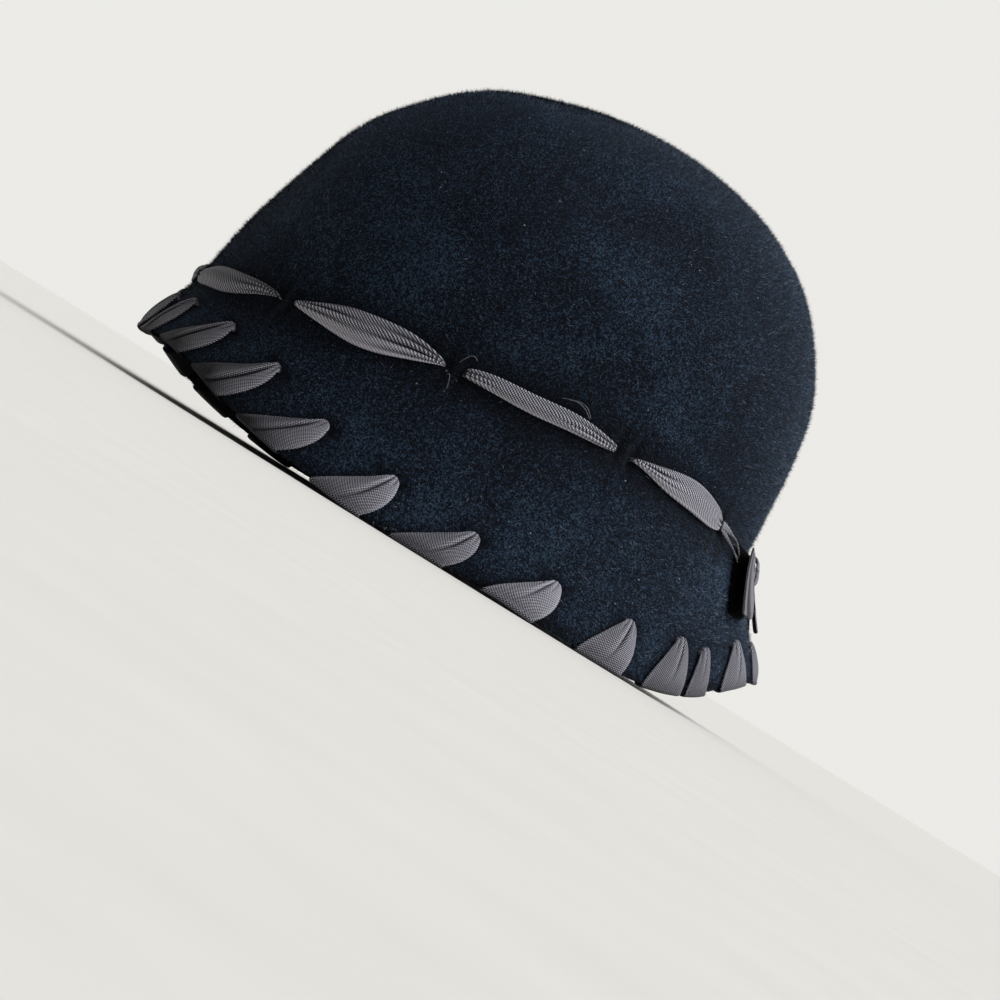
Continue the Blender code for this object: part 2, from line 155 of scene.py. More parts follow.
@dataclass(frozen=True)
class Pucker:
    """How felt is drawn in at a slit: a dip, a crease past each end, a swell round it.

    Narrow sizes are metres across the slit and long ones are metres along it.
    Shares are heights against the height of a full pucker.
    """

    dip_narrow: float
    dip_long: float
    crease_narrow: float
    crease_place: float
    crease_long: float
    crease_share: float
    swell_narrow: float
    swell_place: float
    swell_long: float
    swell_share: float

    def move(self, narrow: np.ndarray, long: np.ndarray, depth: float,
             height: float) -> np.ndarray:
        """Return how far the felt moves out near one slit.

        Args:
            narrow: Distance from the slit across it, in metres.
            long: Distance from its middle along it, in metres.
            depth: Depth of the dip, in metres.
            height: Height of a full pucker, in metres.

        Returns:
            Metres outward, negative inward.
        """
        dip = bell(narrow, 0.0, self.dip_narrow) * bell(long, 0.0, self.dip_long)
        crease = bell(narrow, 0.0, self.crease_narrow)
        crease = crease * bell(np.abs(long), self.crease_place, self.crease_long)
        swell = bell(narrow, self.swell_place, self.swell_narrow)
        swell = swell * bell(long, 0.0, self.swell_long)
        return height * (self.swell_share * swell - self.crease_share * crease) - depth * dip


@dataclass(frozen=True)
class Crease:
    """How a gather folds ribbon: a valley in painted shade with a painted highlight on the ridge
    beside it.

    Places and spreads are shares of half the ribbon's width.
    """

    narrow: float
    widen: float
    ridge_beside: float
    ridge_spread: float
    ridge_height: float
    valley_shade: float
    ridge_shade: float

    def fold(self, v: np.ndarray, place: float | np.ndarray, far: np.ndarray, reach: float,
             size: float) -> tuple[np.ndarray, np.ndarray]:
        """Return how deep one crease is and the shade painted along it.

        Args:
            v: Places across the ribbon from -1 to 1.
            place: Where the crease runs.
            far: Distance from its slit as a share of the length.
            reach: How far it runs, as such a share.
            size: Its depth against the main crease.

        Returns:
            Depth against a full pleat, and painted shade.
        """
        run = bell(far, 0.0, reach, 3) * size
        spread = self.narrow + self.widen * np.clip(1.0 - far / reach, 0.0, 1.0)
        valley = bell(v, place, spread) * run
        ridge = bell(v, place - self.ridge_beside, self.ridge_spread) * run
        return (valley - self.ridge_height * ridge,
                self.valley_shade * valley - self.ridge_shade * ridge)


def bell(place: np.ndarray, middle: float | np.ndarray, spread: float | np.ndarray,
         power: int = 2) -> np.ndarray:
    """Return a smooth hump, 1 at its middle and near 0 far from it.

    Args:
        place: Where to read it.
        middle: Place of its top.
        spread: Distance over which it falls to about a third.
        power: 2 for a round hump; more gives a flatter top and steeper sides.

    Returns:
        An array shaped like place.
    """
    return np.exp(-(((place - middle) / spread) ** power))


def arch(share: np.ndarray, power: float | np.ndarray) -> np.ndarray:
    """Return half a sine wave over a share from 0 to 1, raised to a power."""
    return np.clip(np.sin(np.pi * share), 0.0, 1.0) ** power


def around(length: np.ndarray, place: np.ndarray, total: float) -> np.ndarray:
    """Return the signed way from a place, the short way round a closed line."""
    return np.mod(length - place + total / 2.0, total) - total / 2.0


def unit(vectors: np.ndarray) -> np.ndarray:
    """Return vectors scaled to a length of one."""
    return vectors / (np.linalg.norm(vectors, axis=-1, keepdims=True) + TINY)


def chart(along: np.ndarray, across: np.ndarray) -> np.ndarray:
    """Return length and width coordinates for every point of a strip."""
    return np.stack(np.broadcast_arrays(along, across), -1)


def smooth_noise(x: np.ndarray, y: np.ndarray, z: np.ndarray, seed: int) -> np.ndarray:
    """Return value noise from -1 to 1, smooth and the same on every run.

    Args:
        x: First coordinate, one unit per bump.
        y: Second coordinate.
        z: Third coordinate.
        seed: Picks one of many patterns.

    Returns:
        An array shaped like x.
    """
    def lattice(i: np.ndarray, j: np.ndarray, k: np.ndarray) -> np.ndarray:
        """Hash whole-number corners to values from -1 to 1.

        Args:
            i: First whole number of each corner.
            j: Second one.
            k: Third one.

        Returns:
            An array shaped like i.
        """
        mixed = (i * 374761393 + j * 668265263 + k * 2147483647 + seed * 1274126177)
        mixed = mixed & 0xFFFFFFFF
        mixed = ((mixed ^ (mixed >> 13)) * 1103515245) & 0xFFFFFFFF
        mixed = mixed ^ (mixed >> 16)
        return (mixed & 0xFFFF) / 32767.5 - 1.0

    corner = [np.floor(v).astype(np.int64) for v in (x, y, z)]
    inside = [v - c for v, c in zip((x, y, z), corner)]
    eased = [t * t * (3.0 - 2.0 * t) for t in inside]
    total = np.zeros_like(x, dtype=float)
    for step in itertools.product((0, 1), repeat=3):
        weights = [e if s else 1.0 - e for s, e in zip(step, eased)]
        total += weights[0] * weights[1] * weights[2] * lattice(
            *(c + s for c, s in zip(corner, step)))
    return total


@dataclass
class HatForm:
    """The outer felt face as a function of turn and level, as in the solids.

    Turn is the share of a full turn from the front toward +X. Level counts
    rings up from the brim edge at 0, through the head line at 2, to the apex.
    """

    brim_length: float = 0.2343
    brim_width: float = 0.192
    head_length: float = 0.2035
    head_width: float = 0.168
    hat_height: float = 0.1585
    brim_rise: float = 0.0208
    head_height: float = 0.0600
    felt_thickness: float = 0.0024
    edge_height: float = 0.0012
    brim_squareness: float = 2.25
    head_squareness: float = 2.12
    brim_centre: float = -0.00002
    head_centre: float = -0.00745
    apex_setback: float = 0.005
    dent_depth: float = 0.0020
    head_level: float = 2.0
    mid_brim_shares: tuple = (0.58, 0.58, 0.50)
    level_edge: float = 0.4
    rings: tuple = (
        Ring(0.514, 0.454, 0.495, 0.411, 0.474, 0.423, 2.12),
        Ring(0.479, 0.446, 0.482, 0.562, 0.586, 0.540, 2.10),
        Ring(0.446, 0.427, 0.450, 0.682, 0.684, 0.673, 2.08),
        Ring(0.392, 0.380, 0.395, 0.780, 0.784, 0.790, 2.05),
        Ring(0.312, 0.314, 0.321, 0.880, 0.876, 0.885, 2.02),
        Ring(0.215, 0.219, 0.229, 0.945, 0.942, 0.955, 2.00),
        Ring(0.093, 0.123, 0.119, 0.984, 0.984, 0.990, 2.00),
    )
    edge_rise: tuple = (
        (0.000, 0.66), (0.083, 0.72), (0.133, 0.65), (0.211, 0.35),
        (0.300, 0.11), (0.378, 0.00), (0.467, 0.00), (0.528, 0.05),
        (0.589, 0.00), (0.689, 0.00), (0.733, 0.10), (0.778, 0.30),
        (0.833, 0.71), (0.889, 0.98), (0.955, 0.98), (1.000, 0.88),
    )
    head_rise: tuple = (
        (0.000, 0.670), (0.167, 0.753), (0.333, 0.867), (0.500, 0.963),
        (0.667, 1.000), (0.833, 0.943), (1.000, 0.868),
    )
    dents: tuple = (
        Dent(0.235, 6.1, 0.050, 1.00, 0.90),
        Dent(0.105, 5.2, 0.030, 0.90, 0.70),
        Dent(0.330, 5.0, 0.055, 1.30, -0.60),
        Dent(0.620, 5.6, 0.060, 1.10, 0.60),
        Dent(0.840, 5.0, 0.050, 1.10, 0.70),
        Dent(0.170, 3.2, 0.050, 0.60, -0.50),
        Dent(0.040, 8.0, 0.090, 0.60, 0.45),
    )
    apex_level: float = field(init=False)
    _lengths: dict = field(init=False, default_factory=dict)

    def __post_init__(self) -> None:
        """Work out the top level from the number of rings."""
        self.apex_level = self.head_level + len(self.rings) + 1.0

    @staticmethod
    def _read(rows: tuple, turn: np.ndarray) -> np.ndarray:
        """Read a height table with a smooth curve that never overshoots.

        Args:
            rows: Places from 0 at the front to 1 at the back, each with its height.
            turn: Share of a full turn.

        Returns:
            Heights shaped like turn.
        """
        xs = np.array([row[0] for row in rows])
        ys = np.array([row[1] for row in rows])
        share = np.mod(turn, 1.0)
        share = 2.0 * np.minimum(share, 1.0 - share)
        secant = np.diff(ys) / np.diff(xs)
        slope = np.zeros_like(ys)
        for k in range(1, len(ys) - 1):
            if secant[k - 1] * secant[k] > 0.0:
                slope[k] = 2.0 * secant[k - 1] * secant[k] / (secant[k - 1] + secant[k])
        k = np.clip(np.searchsorted(xs, share, side="right") - 1, 0, len(xs) - 2)
        span = xs[k + 1] - xs[k]
        t = (share - xs[k]) / span
        return (
            (2 * t**3 - 3 * t**2 + 1) * ys[k] + (t**3 - 2 * t**2 + t) * span * slope[k]
            + (3 * t**2 - 2 * t**3) * ys[k + 1] + (t**3 - t**2) * span * slope[k + 1]
        )

    @staticmethod
    def _oval(turn: np.ndarray, front: float, back: float, side: float,
              square: float) -> tuple[np.ndarray, np.ndarray]:
        """Return x and y on an egg-shaped outline.

        Args:
            turn: Share of a full turn.
            front: Reach to the front, in metres.
            back: Reach to the back.
            side: Reach to each side.
            square: 2 for an ellipse; more is squarer.

        Returns:
            The x and the y coordinates.
        """
        angle = 2.0 * math.pi * turn
        across = np.sin(angle)
        along = np.cos(angle)
        half = (front + back) / 2.0
        radius = np.abs(along / half) ** square + np.abs(across / side) ** square
        radius = radius ** (-1.0 / square)
        return radius * across, (back - front) / 2.0 - radius * along

    def edge(self, turn: np.ndarray) -> np.ndarray:
        """Return points on the outer edge of the brim.

        Args:
            turn: Share of a full turn.

        Returns:
            Points with a last axis of three.
        """
        half = self.brim_length / 2
        x, y = self._oval(turn, half - self.brim_centre, half + self.brim_centre,
                          self.brim_width / 2, self.brim_squareness)
        z = self.edge_height + self.brim_rise * self._read(self.edge_rise, turn)
        return np.stack([x, y, z], -1)

    def head(self, turn: np.ndarray) -> np.ndarray:
        """Return points on the head line.

        Args:
            turn: Share of a full turn.

        Returns:
            Points with a last axis of three.
        """
        half = self.head_length / 2
        x, y = self._oval(turn, half - self.head_centre, half + self.head_centre,
                          self.head_width / 2, self.head_squareness)
        return np.stack([x, y, self.head_height * self._read(self.head_rise, turn)], -1)

    def _crown(self, index: int, turn: np.ndarray) -> np.ndarray:
        """Return points on one of the crown's rings.

        Args:
            index: Which ring, from 0 above the head line.
            turn: Share of a full turn.

        Returns:
            Points with a last axis of three.
        """
        ring = self.rings[index]
        x, y = self._oval(turn, ring.front * self.head_length, ring.back * self.head_length,
                          ring.side * self.head_width, ring.squareness)
        along = np.cos(2.0 * math.pi * turn)
        ahead = np.maximum(along, 0.0) ** 2
        behind = np.maximum(-along, 0.0) ** 2
        share = ring.z_side + (ring.z_front - ring.z_side) * ahead
        share = share + (ring.z_back - ring.z_side) * behind
        return np.stack([x, y, self.hat_height * share], -1)

    def _stack(self, turn: np.ndarray) -> np.ndarray:
        """Return every ring at these turns, with one extra at each end.

        Args:
            turn: Share of a full turn.

        Returns:
            Points with the rings on the first axis, from below the edge to past the apex.
        """
        low = self.edge(turn)
        high = self.head(turn)
        middle = low + (high - low) * np.array(self.mid_brim_shares)
        rows = [2.0 * low - middle, low, middle, high]
        rows += [self._crown(k, turn) for k in range(len(self.rings))]
        apex = np.zeros_like(low)
        apex[..., 1] = self.apex_setback
        apex[..., 2] = self.hat_height
        rows.append(apex)
        rows.append(self._crown(len(self.rings) - 1, turn + 0.5))
        return np.stack(rows, 0)

    def smooth(self, turn: np.ndarray, level: np.ndarray) -> np.ndarray:
        """Return points of the plain felt face between the rings.

        Args:
            turn: Share of a full turn.
            level: Rings up from the edge.

        Returns:
            Points with a last axis of three.
        """
        turn, level = np.broadcast_arrays(np.asarray(turn, float), np.asarray(level, float))
        flat_turn = turn.ravel()
        flat_level = np.maximum(level.ravel(), 0.0)
        index = np.minimum(flat_level.astype(int), int(self.apex_level) - 1)
        t = (flat_level - index)[:, None]
        stack = self._stack(flat_turn)
        pick = np.arange(len(flat_turn))
        a, b, c, d = (stack[index + k, pick] for k in range(4))
        point = 0.5 * (2 * b + (c - a) * t + (2 * a - 5 * b + 4 * c - d) * t * t
                       + (3 * b - a - 3 * c + d) * t**3)
        return point.reshape(turn.shape + (3,))

    def normal(self, turn: np.ndarray, level: np.ndarray) -> np.ndarray:
        """Return outward unit normals, level at the edge and upright at the apex.

        Args:
            turn: Share of a full turn.
            level: Rings up from the edge.

        Returns:
            Normals with a last axis of three.
        """
        turn, level = np.broadcast_arrays(np.asarray(turn, float), np.asarray(level, float))
        near = np.minimum(level, self.apex_level - 1.5 * LEVEL_STEP)
        round_way = self.smooth(turn + TURN_STEP, near) - self.smooth(turn - TURN_STEP, near)
        up_way = self.smooth(turn, near + LEVEL_STEP)
        up_way = up_way - self.smooth(turn, np.maximum(near - LEVEL_STEP, 0.0))
        found = np.cross(round_way, up_way)
        ease = np.clip(level / self.level_edge, 0.0, 1.0)
        found[..., 2] *= ease * ease * (3.0 - 2.0 * ease)
        top = np.clip((level - self.apex_level + 3.0 * LEVEL_STEP) / 0.05, 0.0, 1.0)[..., None]
        return unit(unit(found) * (1.0 - top) + np.array([0.0, 0.0, 1.0]) * top)

    def dent(self, turn: np.ndarray, level: np.ndarray) -> np.ndarray:
        """Return how deep the felt is dented in.

        Args:
            turn: Share of a full turn.
            level: Rings up from the edge.

        Returns:
            Metres inward, negative outward.
        """
        total = np.zeros(np.broadcast(turn, level).shape)
        for row in self.dents:
            gap = around(turn, row.turn, 1.0)
            total = total + row.depth * (bell(gap, 0.0, row.turn_spread)
                                         * bell(level, row.level, row.level_spread))
        fade = np.clip((self.apex_level - level) / 1.5, 0.0, 1.0)
        fade = fade * np.clip(level - self.head_level, 0.0, 1.0)
        return self.dent_depth * total * fade

    def point(self, turn: np.ndarray, level: np.ndarray, offset: np.ndarray) -> np.ndarray:
        """Return points at a distance outside the felt's outer face.

        Args:
            turn: Share of a full turn from the front toward +X.
            level: Ring count up from the edge; below 0 it is metres straight down.
            offset: Metres outward from the face.

        Returns:
            Points with a last axis of three.
        """
        turn, level, offset = np.broadcast_arrays(
            np.asarray(turn, float), np.asarray(level, float), np.asarray(offset, float))
        held = np.maximum(level, 0.0)
        move = (offset - self.dent(turn, held))[..., None]
        found = self.smooth(turn, held) + self.normal(turn, held) * move
        found[..., 2] += np.minimum(level, 0.0)
        return found

    def loop(self, level: float) -> np.ndarray:
        """Return the running length round one level at every even turn.

        Args:
            level: Rings up from the edge.

        Returns:
            Metres from the front, ending with the whole way round.
        """
        if level not in self._lengths:
            line = self.smooth(EVEN_TURNS, np.full_like(EVEN_TURNS, level))
            steps = np.linalg.norm(np.diff(line, axis=0), axis=1)
            self._lengths[level] = np.concatenate([[0.0], np.cumsum(steps)])
        return self._lengths[level]

    @property
    def head_total(self) -> float:
        """Whole way round the head line, in metres."""
        return self.loop(self.head_level)[-1]

    @property
    def edge_total(self) -> float:
        """Whole way round the brim edge, in metres."""
        return self.loop(0.0)[-1]

    def turn_at(self, level: float, length: np.ndarray) -> np.ndarray:
        """Return the turn at a length measured round a level from the front.

        Args:
            level: Rings up from the edge.
            length: Metres round that level.

        Returns:
            Shares of a full turn.
        """
        lengths = self.loop(level)
        rounds = np.floor(np.asarray(length) / lengths[-1])
        return rounds + np.interp(length - rounds * lengths[-1], lengths, EVEN_TURNS)

    def length_at(self, level: float, turn: np.ndarray) -> np.ndarray:
        """Return the length round a level at a turn.

        Args:
            level: Rings up from the edge.
            turn: Share of a full turn.

        Returns:
            Metres round that level from the front.
        """
        lengths = self.loop(level)
        rounds = np.floor(turn)
        return rounds * lengths[-1] + np.interp(turn - rounds, EVEN_TURNS, lengths)

    def brim_reach(self, turn: np.ndarray) -> np.ndarray:
        """Return the straight distance from brim edge to head line."""
        return np.linalg.norm(self.head(turn) - self.edge(turn), axis=-1)

    def crown_reach(self, turn: np.ndarray) -> np.ndarray:
        """Return the straight distance from head line to the first crown ring."""
        return np.linalg.norm(self._crown(0, turn) - self.head(turn), axis=-1)

    def brim_level(self, turn: np.ndarray, height: np.ndarray) -> np.ndarray:
        """Return the level at a height in metres up the brim from its edge."""
        return np.where(height < 0.0, height, self.head_level * height / self.brim_reach(turn))

    def brim_height(self, turn: np.ndarray, level: np.ndarray) -> np.ndarray:
        """Return the height in metres up the brim from its edge at a level."""
        return level * self.brim_reach(turn) / self.head_level

    def crown_level(self, turn: np.ndarray, height: np.ndarray) -> np.ndarray:
        """Return the level at a height in metres above or below the head line."""
        below = self.brim_reach(turn) / self.head_level
        return self.head_level + height / np.where(height < 0.0, below, self.crown_reach(turn))

    def by_head(self, length: np.ndarray, lift: np.ndarray, offset: np.ndarray) -> np.ndarray:
        """Return points near the head line.

        Args:
            length: Metres round the head line from the front.
            lift: Metres above it.
            offset: Metres outside the felt.

        Returns:
            Points with a last axis of three.
        """
        turn = self.turn_at(self.head_level, length)
        return self.point(turn, self.crown_level(turn, lift), offset)

    def crown_height(self, turn: np.ndarray, level: np.ndarray) -> np.ndarray:
        """Return the height in metres above or below the head line at a level.

        Args:
            turn: Share of a full turn.
            level: Rings up from the edge.

        Returns:
            Metres, negative below the head line.
        """
        below = self.brim_reach(turn) / self.head_level
        return (level - self.head_level) * np.where(
            level < self.head_level, below, self.crown_reach(turn))


@dataclass
class Lacing:
    """Where the ribbon runs, from the same sizes as the solids.

    Stretch rows hold a start and an end as shares of half the head line and a
    width. Stitch rows hold a base as a share of half the edge, then lean,
    height and width as shares of their sizes, then the painted shade of the
    wrap and how steeply that painted shade slopes across it.
    """

    form: HatForm
    ribbon_thickness: float = 0.0006
    ribbon_clearance: float = 0.0006
    crown_ribbon_width: float = 0.0102
    pinch_width: float = 0.0056
    stitch_width: float = 0.0180
    stitch_height: float = 0.0190
    stitch_lean: float = 0.0250
    back_stretch: tuple = (1.015, 1.200, 0.85)
    stretch_rows: tuple = (
        (0.014, 0.192, 0.85), (0.212, 0.393, 1.10),
        (0.413, 0.596, 0.74), (0.616, 0.770, 0.98),
    )
    looks: tuple = (
        StretchLook(0.10, 0.12, -0.15, 0.26, 0.70, 0.05, 0.2, 0.62, 0.85, 0.98),
        StretchLook(0.30, 0.38, -0.10, 0.40, 0.10, 0.05, 0.8, 0.20, 1.05, 1.0),
        StretchLook(-0.35, 0.16, -0.20, 0.30, 1.15, 0.75, 1.0, 0.26, 1.0, 0.78),
        StretchLook(0.35, 0.34, 0.20, 0.08, 0.35, 1.10, 0.8, 0.10, 1.45, 0.92),
    )
    stitch_rows: tuple = (
        (0.040, 0.58, 0.79, 0.94, 0.72, 0.45),
        (0.115, 0.70, 0.89, 0.94, 0.70, 0.45),
        (0.187, 0.77, 1.00, 0.94, 0.55, 0.45),
        (0.264, 0.73, 0.81, 1.00, 0.40, 0.34),
        (0.356, 0.57, 0.74, 1.06, 0.15, 0.20),
        (0.441, 0.61, 0.63, 1.06, 0.31, 0.14),
        (0.536, 0.54, 0.67, 1.06, 0.01, 0.14),
        (0.638, 0.37, 0.80, 1.04, 0.30, 0.10),
        (0.716, 0.27, 0.82, 0.96, 0.44, 0.05),
        (0.762, 0.16, 0.66, 0.56, 0.40, 0.00),
        (0.825, 0.13, 0.64, 0.98, 0.38, 0.05),
        (0.895, 0.05, 0.56, 0.90, 0.42, 0.00),
        (0.965, 0.00, 0.56, 0.90, 0.42, 0.00),
    )

    @property
    def offset(self) -> float:
        """Distance from the felt's face to the middle of the ribbon."""
        return self.ribbon_clearance + self.ribbon_thickness / 2.0

    @property
    def inside(self) -> float:
        """Place of the middle of the ribbon where it runs inside the felt."""
        return -self.form.felt_thickness - self.offset

    def stretches(self) -> list[Stretch]:
        """Return the outside lengths of crown ribbon, going round from the front.

        Returns:
            One entry for each length, the left half first.
        """
        half = self.form.head_total / 2.0
        rows = list(self.stretch_rows) + [self.back_stretch]
        rows += [(2.0 - end, 2.0 - start, width) for start, end, width in self.stretch_rows[::-1]]
        looks = self.looks + (self.looks[2],)
        looks = looks + tuple(look.mirrored() for look in self.looks[::-1])
        return [Stretch(start * half, end * half, width * self.crown_ribbon_width, look, k)
                for k, ((start, end, width), look) in enumerate(zip(rows, looks))]

    def stitches(self) -> list[Stitch]:
        """Return every wrap over the brim edge, going round from the front.

        Returns:
            One entry for each wrap, the left half first and its mirror after it.
        """
        half = self.form.edge_total / 2.0
        rows = list(self.stitch_rows)
        rows += [(2.0 - row[0],) + row[1:] for row in self.stitch_rows[::-1]]
        return [Stitch(base * half, base * half + lean * self.stitch_lean,
                       height * self.stitch_height, width * self.stitch_width, shade, tilt, k)
                for k, (base, lean, height, width, shade, tilt) in enumerate(rows)]


def hex_linear(code: str) -> tuple[float, float, float, float]:
    """Turn an sRGB hex colour into linear red, green, blue and full alpha.

    Args:
        code: Six hex digits.

    Returns:
        Four numbers for a colour socket.
    """
    parts = [int(code[k:k + 2], 16) / 255.0 for k in (0, 2, 4)]
    linear = [v / 12.92 if v <= 0.04045 else ((v + 0.055) / 1.055) ** 2.4 for v in parts]
    return linear[0], linear[1], linear[2], 1.0


def add_node(tree: bpy.types.NodeTree, kind: str, links: dict | None = None,
             **settings: object) -> bpy.types.Node:
    """Add one shader node, set it up and link its inputs.

    Args:
        tree: The material's node tree.
        kind: The node's type name without its ShaderNode prefix.
        links: Input name or number to a value, or to an output socket.
        **settings: Properties of the node itself.

    Returns:
        The new node.
    """
    node = tree.nodes.new("ShaderNode" + kind)
    for name, value in settings.items():
        setattr(node, name, value)
    for name, value in (links or {}).items():
        if isinstance(value, bpy.types.NodeSocket):
            tree.links.new(value, node.inputs[name])
        else:
            node.inputs[name].default_value = value
    return node


def add_ramp(tree: bpy.types.NodeTree, source: bpy.types.NodeSocket,
             stops: list[tuple[float, str]]) -> bpy.types.NodeSocket:
    """Map a number to colours given as hex at places from 0 to 1.

    Args:
        tree: The material's node tree.
        source: The number to read.
        stops: Place and hex colour of each stop.

    Returns:
        The colour output.
    """
    node = add_node(tree, "ValToRGB", {"Fac": source})
    ramp = node.color_ramp
    while len(ramp.elements) < len(stops):
        ramp.elements.new(0.5)
    for element, (place, code) in zip(ramp.elements, stops):
        element.position = place
        element.color = hex_linear(code)
    return node.outputs["Color"]


def add_math(tree: bpy.types.NodeTree, operation: str,
             *values: float | bpy.types.NodeSocket, clamp: bool = False) -> bpy.types.NodeSocket:
    """Combine numbers and sockets with one Math node.

    Args:
        tree: The material's node tree.
        operation: What the node does, such as ADD.
        *values: Its inputs in order.
        clamp: Whether the result stays from 0 to 1.

    Returns:
        The result's socket.
    """
    node = add_node(tree, "Math", dict(enumerate(values)), operation=operation, use_clamp=clamp)
    return node.outputs[0]


def new_material(name: str, finish: dict,
                 ) -> tuple[bpy.types.Material, bpy.types.NodeTree, bpy.types.Node]:
    """Make a material with a Principled shader wired to its output.

    Args:
        name: Plain name of the finish.
        finish: The shader's own inputs and their constants.

    Returns:
        The material, its tree and its shader.
    """
    material = bpy.data.materials.new(name)
    material.use_nodes = True
    tree = material.node_tree
    tree.nodes.clear()
    shader = add_node(tree, "BsdfPrincipled", finish)
    add_node(tree, "OutputMaterial", {"Surface": shader.outputs["BSDF"]})
    return material, tree, shader


@dataclass(frozen=True)
class VelourFelt:
    """Fur felt, hardened wool and rabbit fur, steamed on a block and brushed up.

    The brushed nap is matt and almost black where it points at the eye, and
    shows a soft blue-grey bloom where light grazes it. Brush strokes leave
    patches a few centimetres across, and pale lint clings to it. Real fibres
    are about 0.02 mm thick, too fine to show, so the hair pattern is coarser.
    """

    name: str = "navy_velour_felt"
    deep: str = "010207"
    body: str = "040b1a"
    lit: str = "2d3f50"
    bloom: str = "38526f"
    lint: str = "9aa2a8"
    sheen: float = 0.26
    patch_mm: float = 38.0
    clump_mm: float = 1.5
    hair_mm: float = 0.68
    bump_mm: float = 0.35
    clump_share: float = 0.45
    patch_contrast: float = 0.20
    lint_cells: float = 210.0
    lint_above: float = 0.80
    lint_radius: float = 0.055
    lint_strength: float = 0.75

    def build(self) -> bpy.types.Material:
        """Return the felt material, darker where the nap lies flat or painted shade is
        marked, and lighter where painted light is marked.

        Returns:
            The material.
        """
        material, tree, shader = new_material(self.name, {
            "Roughness": 0.95, "Specular IOR Level": 0.18, "Sheen Weight": self.sheen,
            "Sheen Roughness": 0.42, "Sheen Tint": hex_linear(self.bloom)})
        place = add_node(tree, "TexCoord").outputs["Object"]
        patch, clump, hair = (
            add_node(tree, "TexNoise", {
                "Vector": place, "Scale": 1000.0 / size_mm, "Detail": detail,
                "Roughness": rough, "Distortion": swirl}).outputs["Fac"]
            for size_mm, detail, rough, swirl in (
                (self.patch_mm, 3.0, 0.55, 0.6), (self.clump_mm, 4.0, 0.68, 0.4),
                (self.hair_mm, 2.0, 0.7, 0.0)))
        pile = add_math(tree, "MULTIPLY_ADD", clump, self.clump_share, hair)
        shade = add_node(tree, "MapRange", {"Value": pile, "From Min": 0.63, "From Max": 0.88})
        brushed = add_node(tree, "MapRange", {
            "Value": patch, "From Min": 0.34, "From Max": 0.66,
            "To Min": -self.patch_contrast, "To Max": self.patch_contrast})
        lightness = add_math(tree, "ADD", shade.outputs[0], brushed.outputs[0], clamp=True)
        # Flattened nap and painted shade darken the felt here, and painted light at the lower
        # back lightens it.
        nap_and_painted_light = add_node(tree, "Attribute", attribute_name="nap_and_painted_light").outputs["Fac"]
        total = add_math(tree, "SUBTRACT", lightness, nap_and_painted_light, clamp=True)
        colour = add_ramp(tree, total, [(0.0, self.deep), (0.45, self.body), (1.0, self.lit)])
        cells = add_node(tree, "TexVoronoi", {"Vector": place, "Scale": self.lint_cells})
        chosen = add_node(tree, "SeparateColor", {"Color": cells.outputs["Color"]}).outputs[0]
        rare = add_math(tree, "GREATER_THAN", chosen, self.lint_above)
        near = add_math(tree, "LESS_THAN", cells.outputs["Distance"], self.lint_radius)
        speck = add_math(tree, "MULTIPLY", rare, near)
        flecked = add_node(tree, "MixRGB", {
            "Fac": add_math(tree, "MULTIPLY", speck, self.lint_strength),
            "Color1": colour, "Color2": hex_linear(self.lint)})
        tree.links.new(flecked.outputs["Color"], shader.inputs["Base Color"])
        bump = add_node(tree, "Bump", {
            "Height": pile, "Strength": 0.9, "Distance": self.bump_mm / 1000.0})
        tree.links.new(bump.outputs["Normal"], shader.inputs["Normal"])
        return material


@dataclass(frozen=True)
class NapFibre:
    """Loose fur fibres that stand off the brushed felt, dyed with it."""

    name: str = "navy_nap_fibre"
    root: str = "010308"
    tip: str = "40566e"
    undyed: str = "8b969e"
    bloom: str = "6c88a6"

    def build(self) -> bpy.types.Material:
        """Return the fibre material, a little different for each fibre.

        Returns:
            The material.
        """
        material, tree, shader = new_material(self.name, {
            "Roughness": 0.8, "Specular IOR Level": 0.25, "Sheen Weight": 0.18,
            "Sheen Tint": hex_linear(self.bloom)})
        tone = add_node(tree, "Attribute", attribute_name="tone").outputs["Fac"]
        colour = add_ramp(tree, tone, [(0.0, self.root), (0.8, self.tip), (1.0, self.undyed)])
        tree.links.new(colour, shader.inputs["Base Color"])
        return material


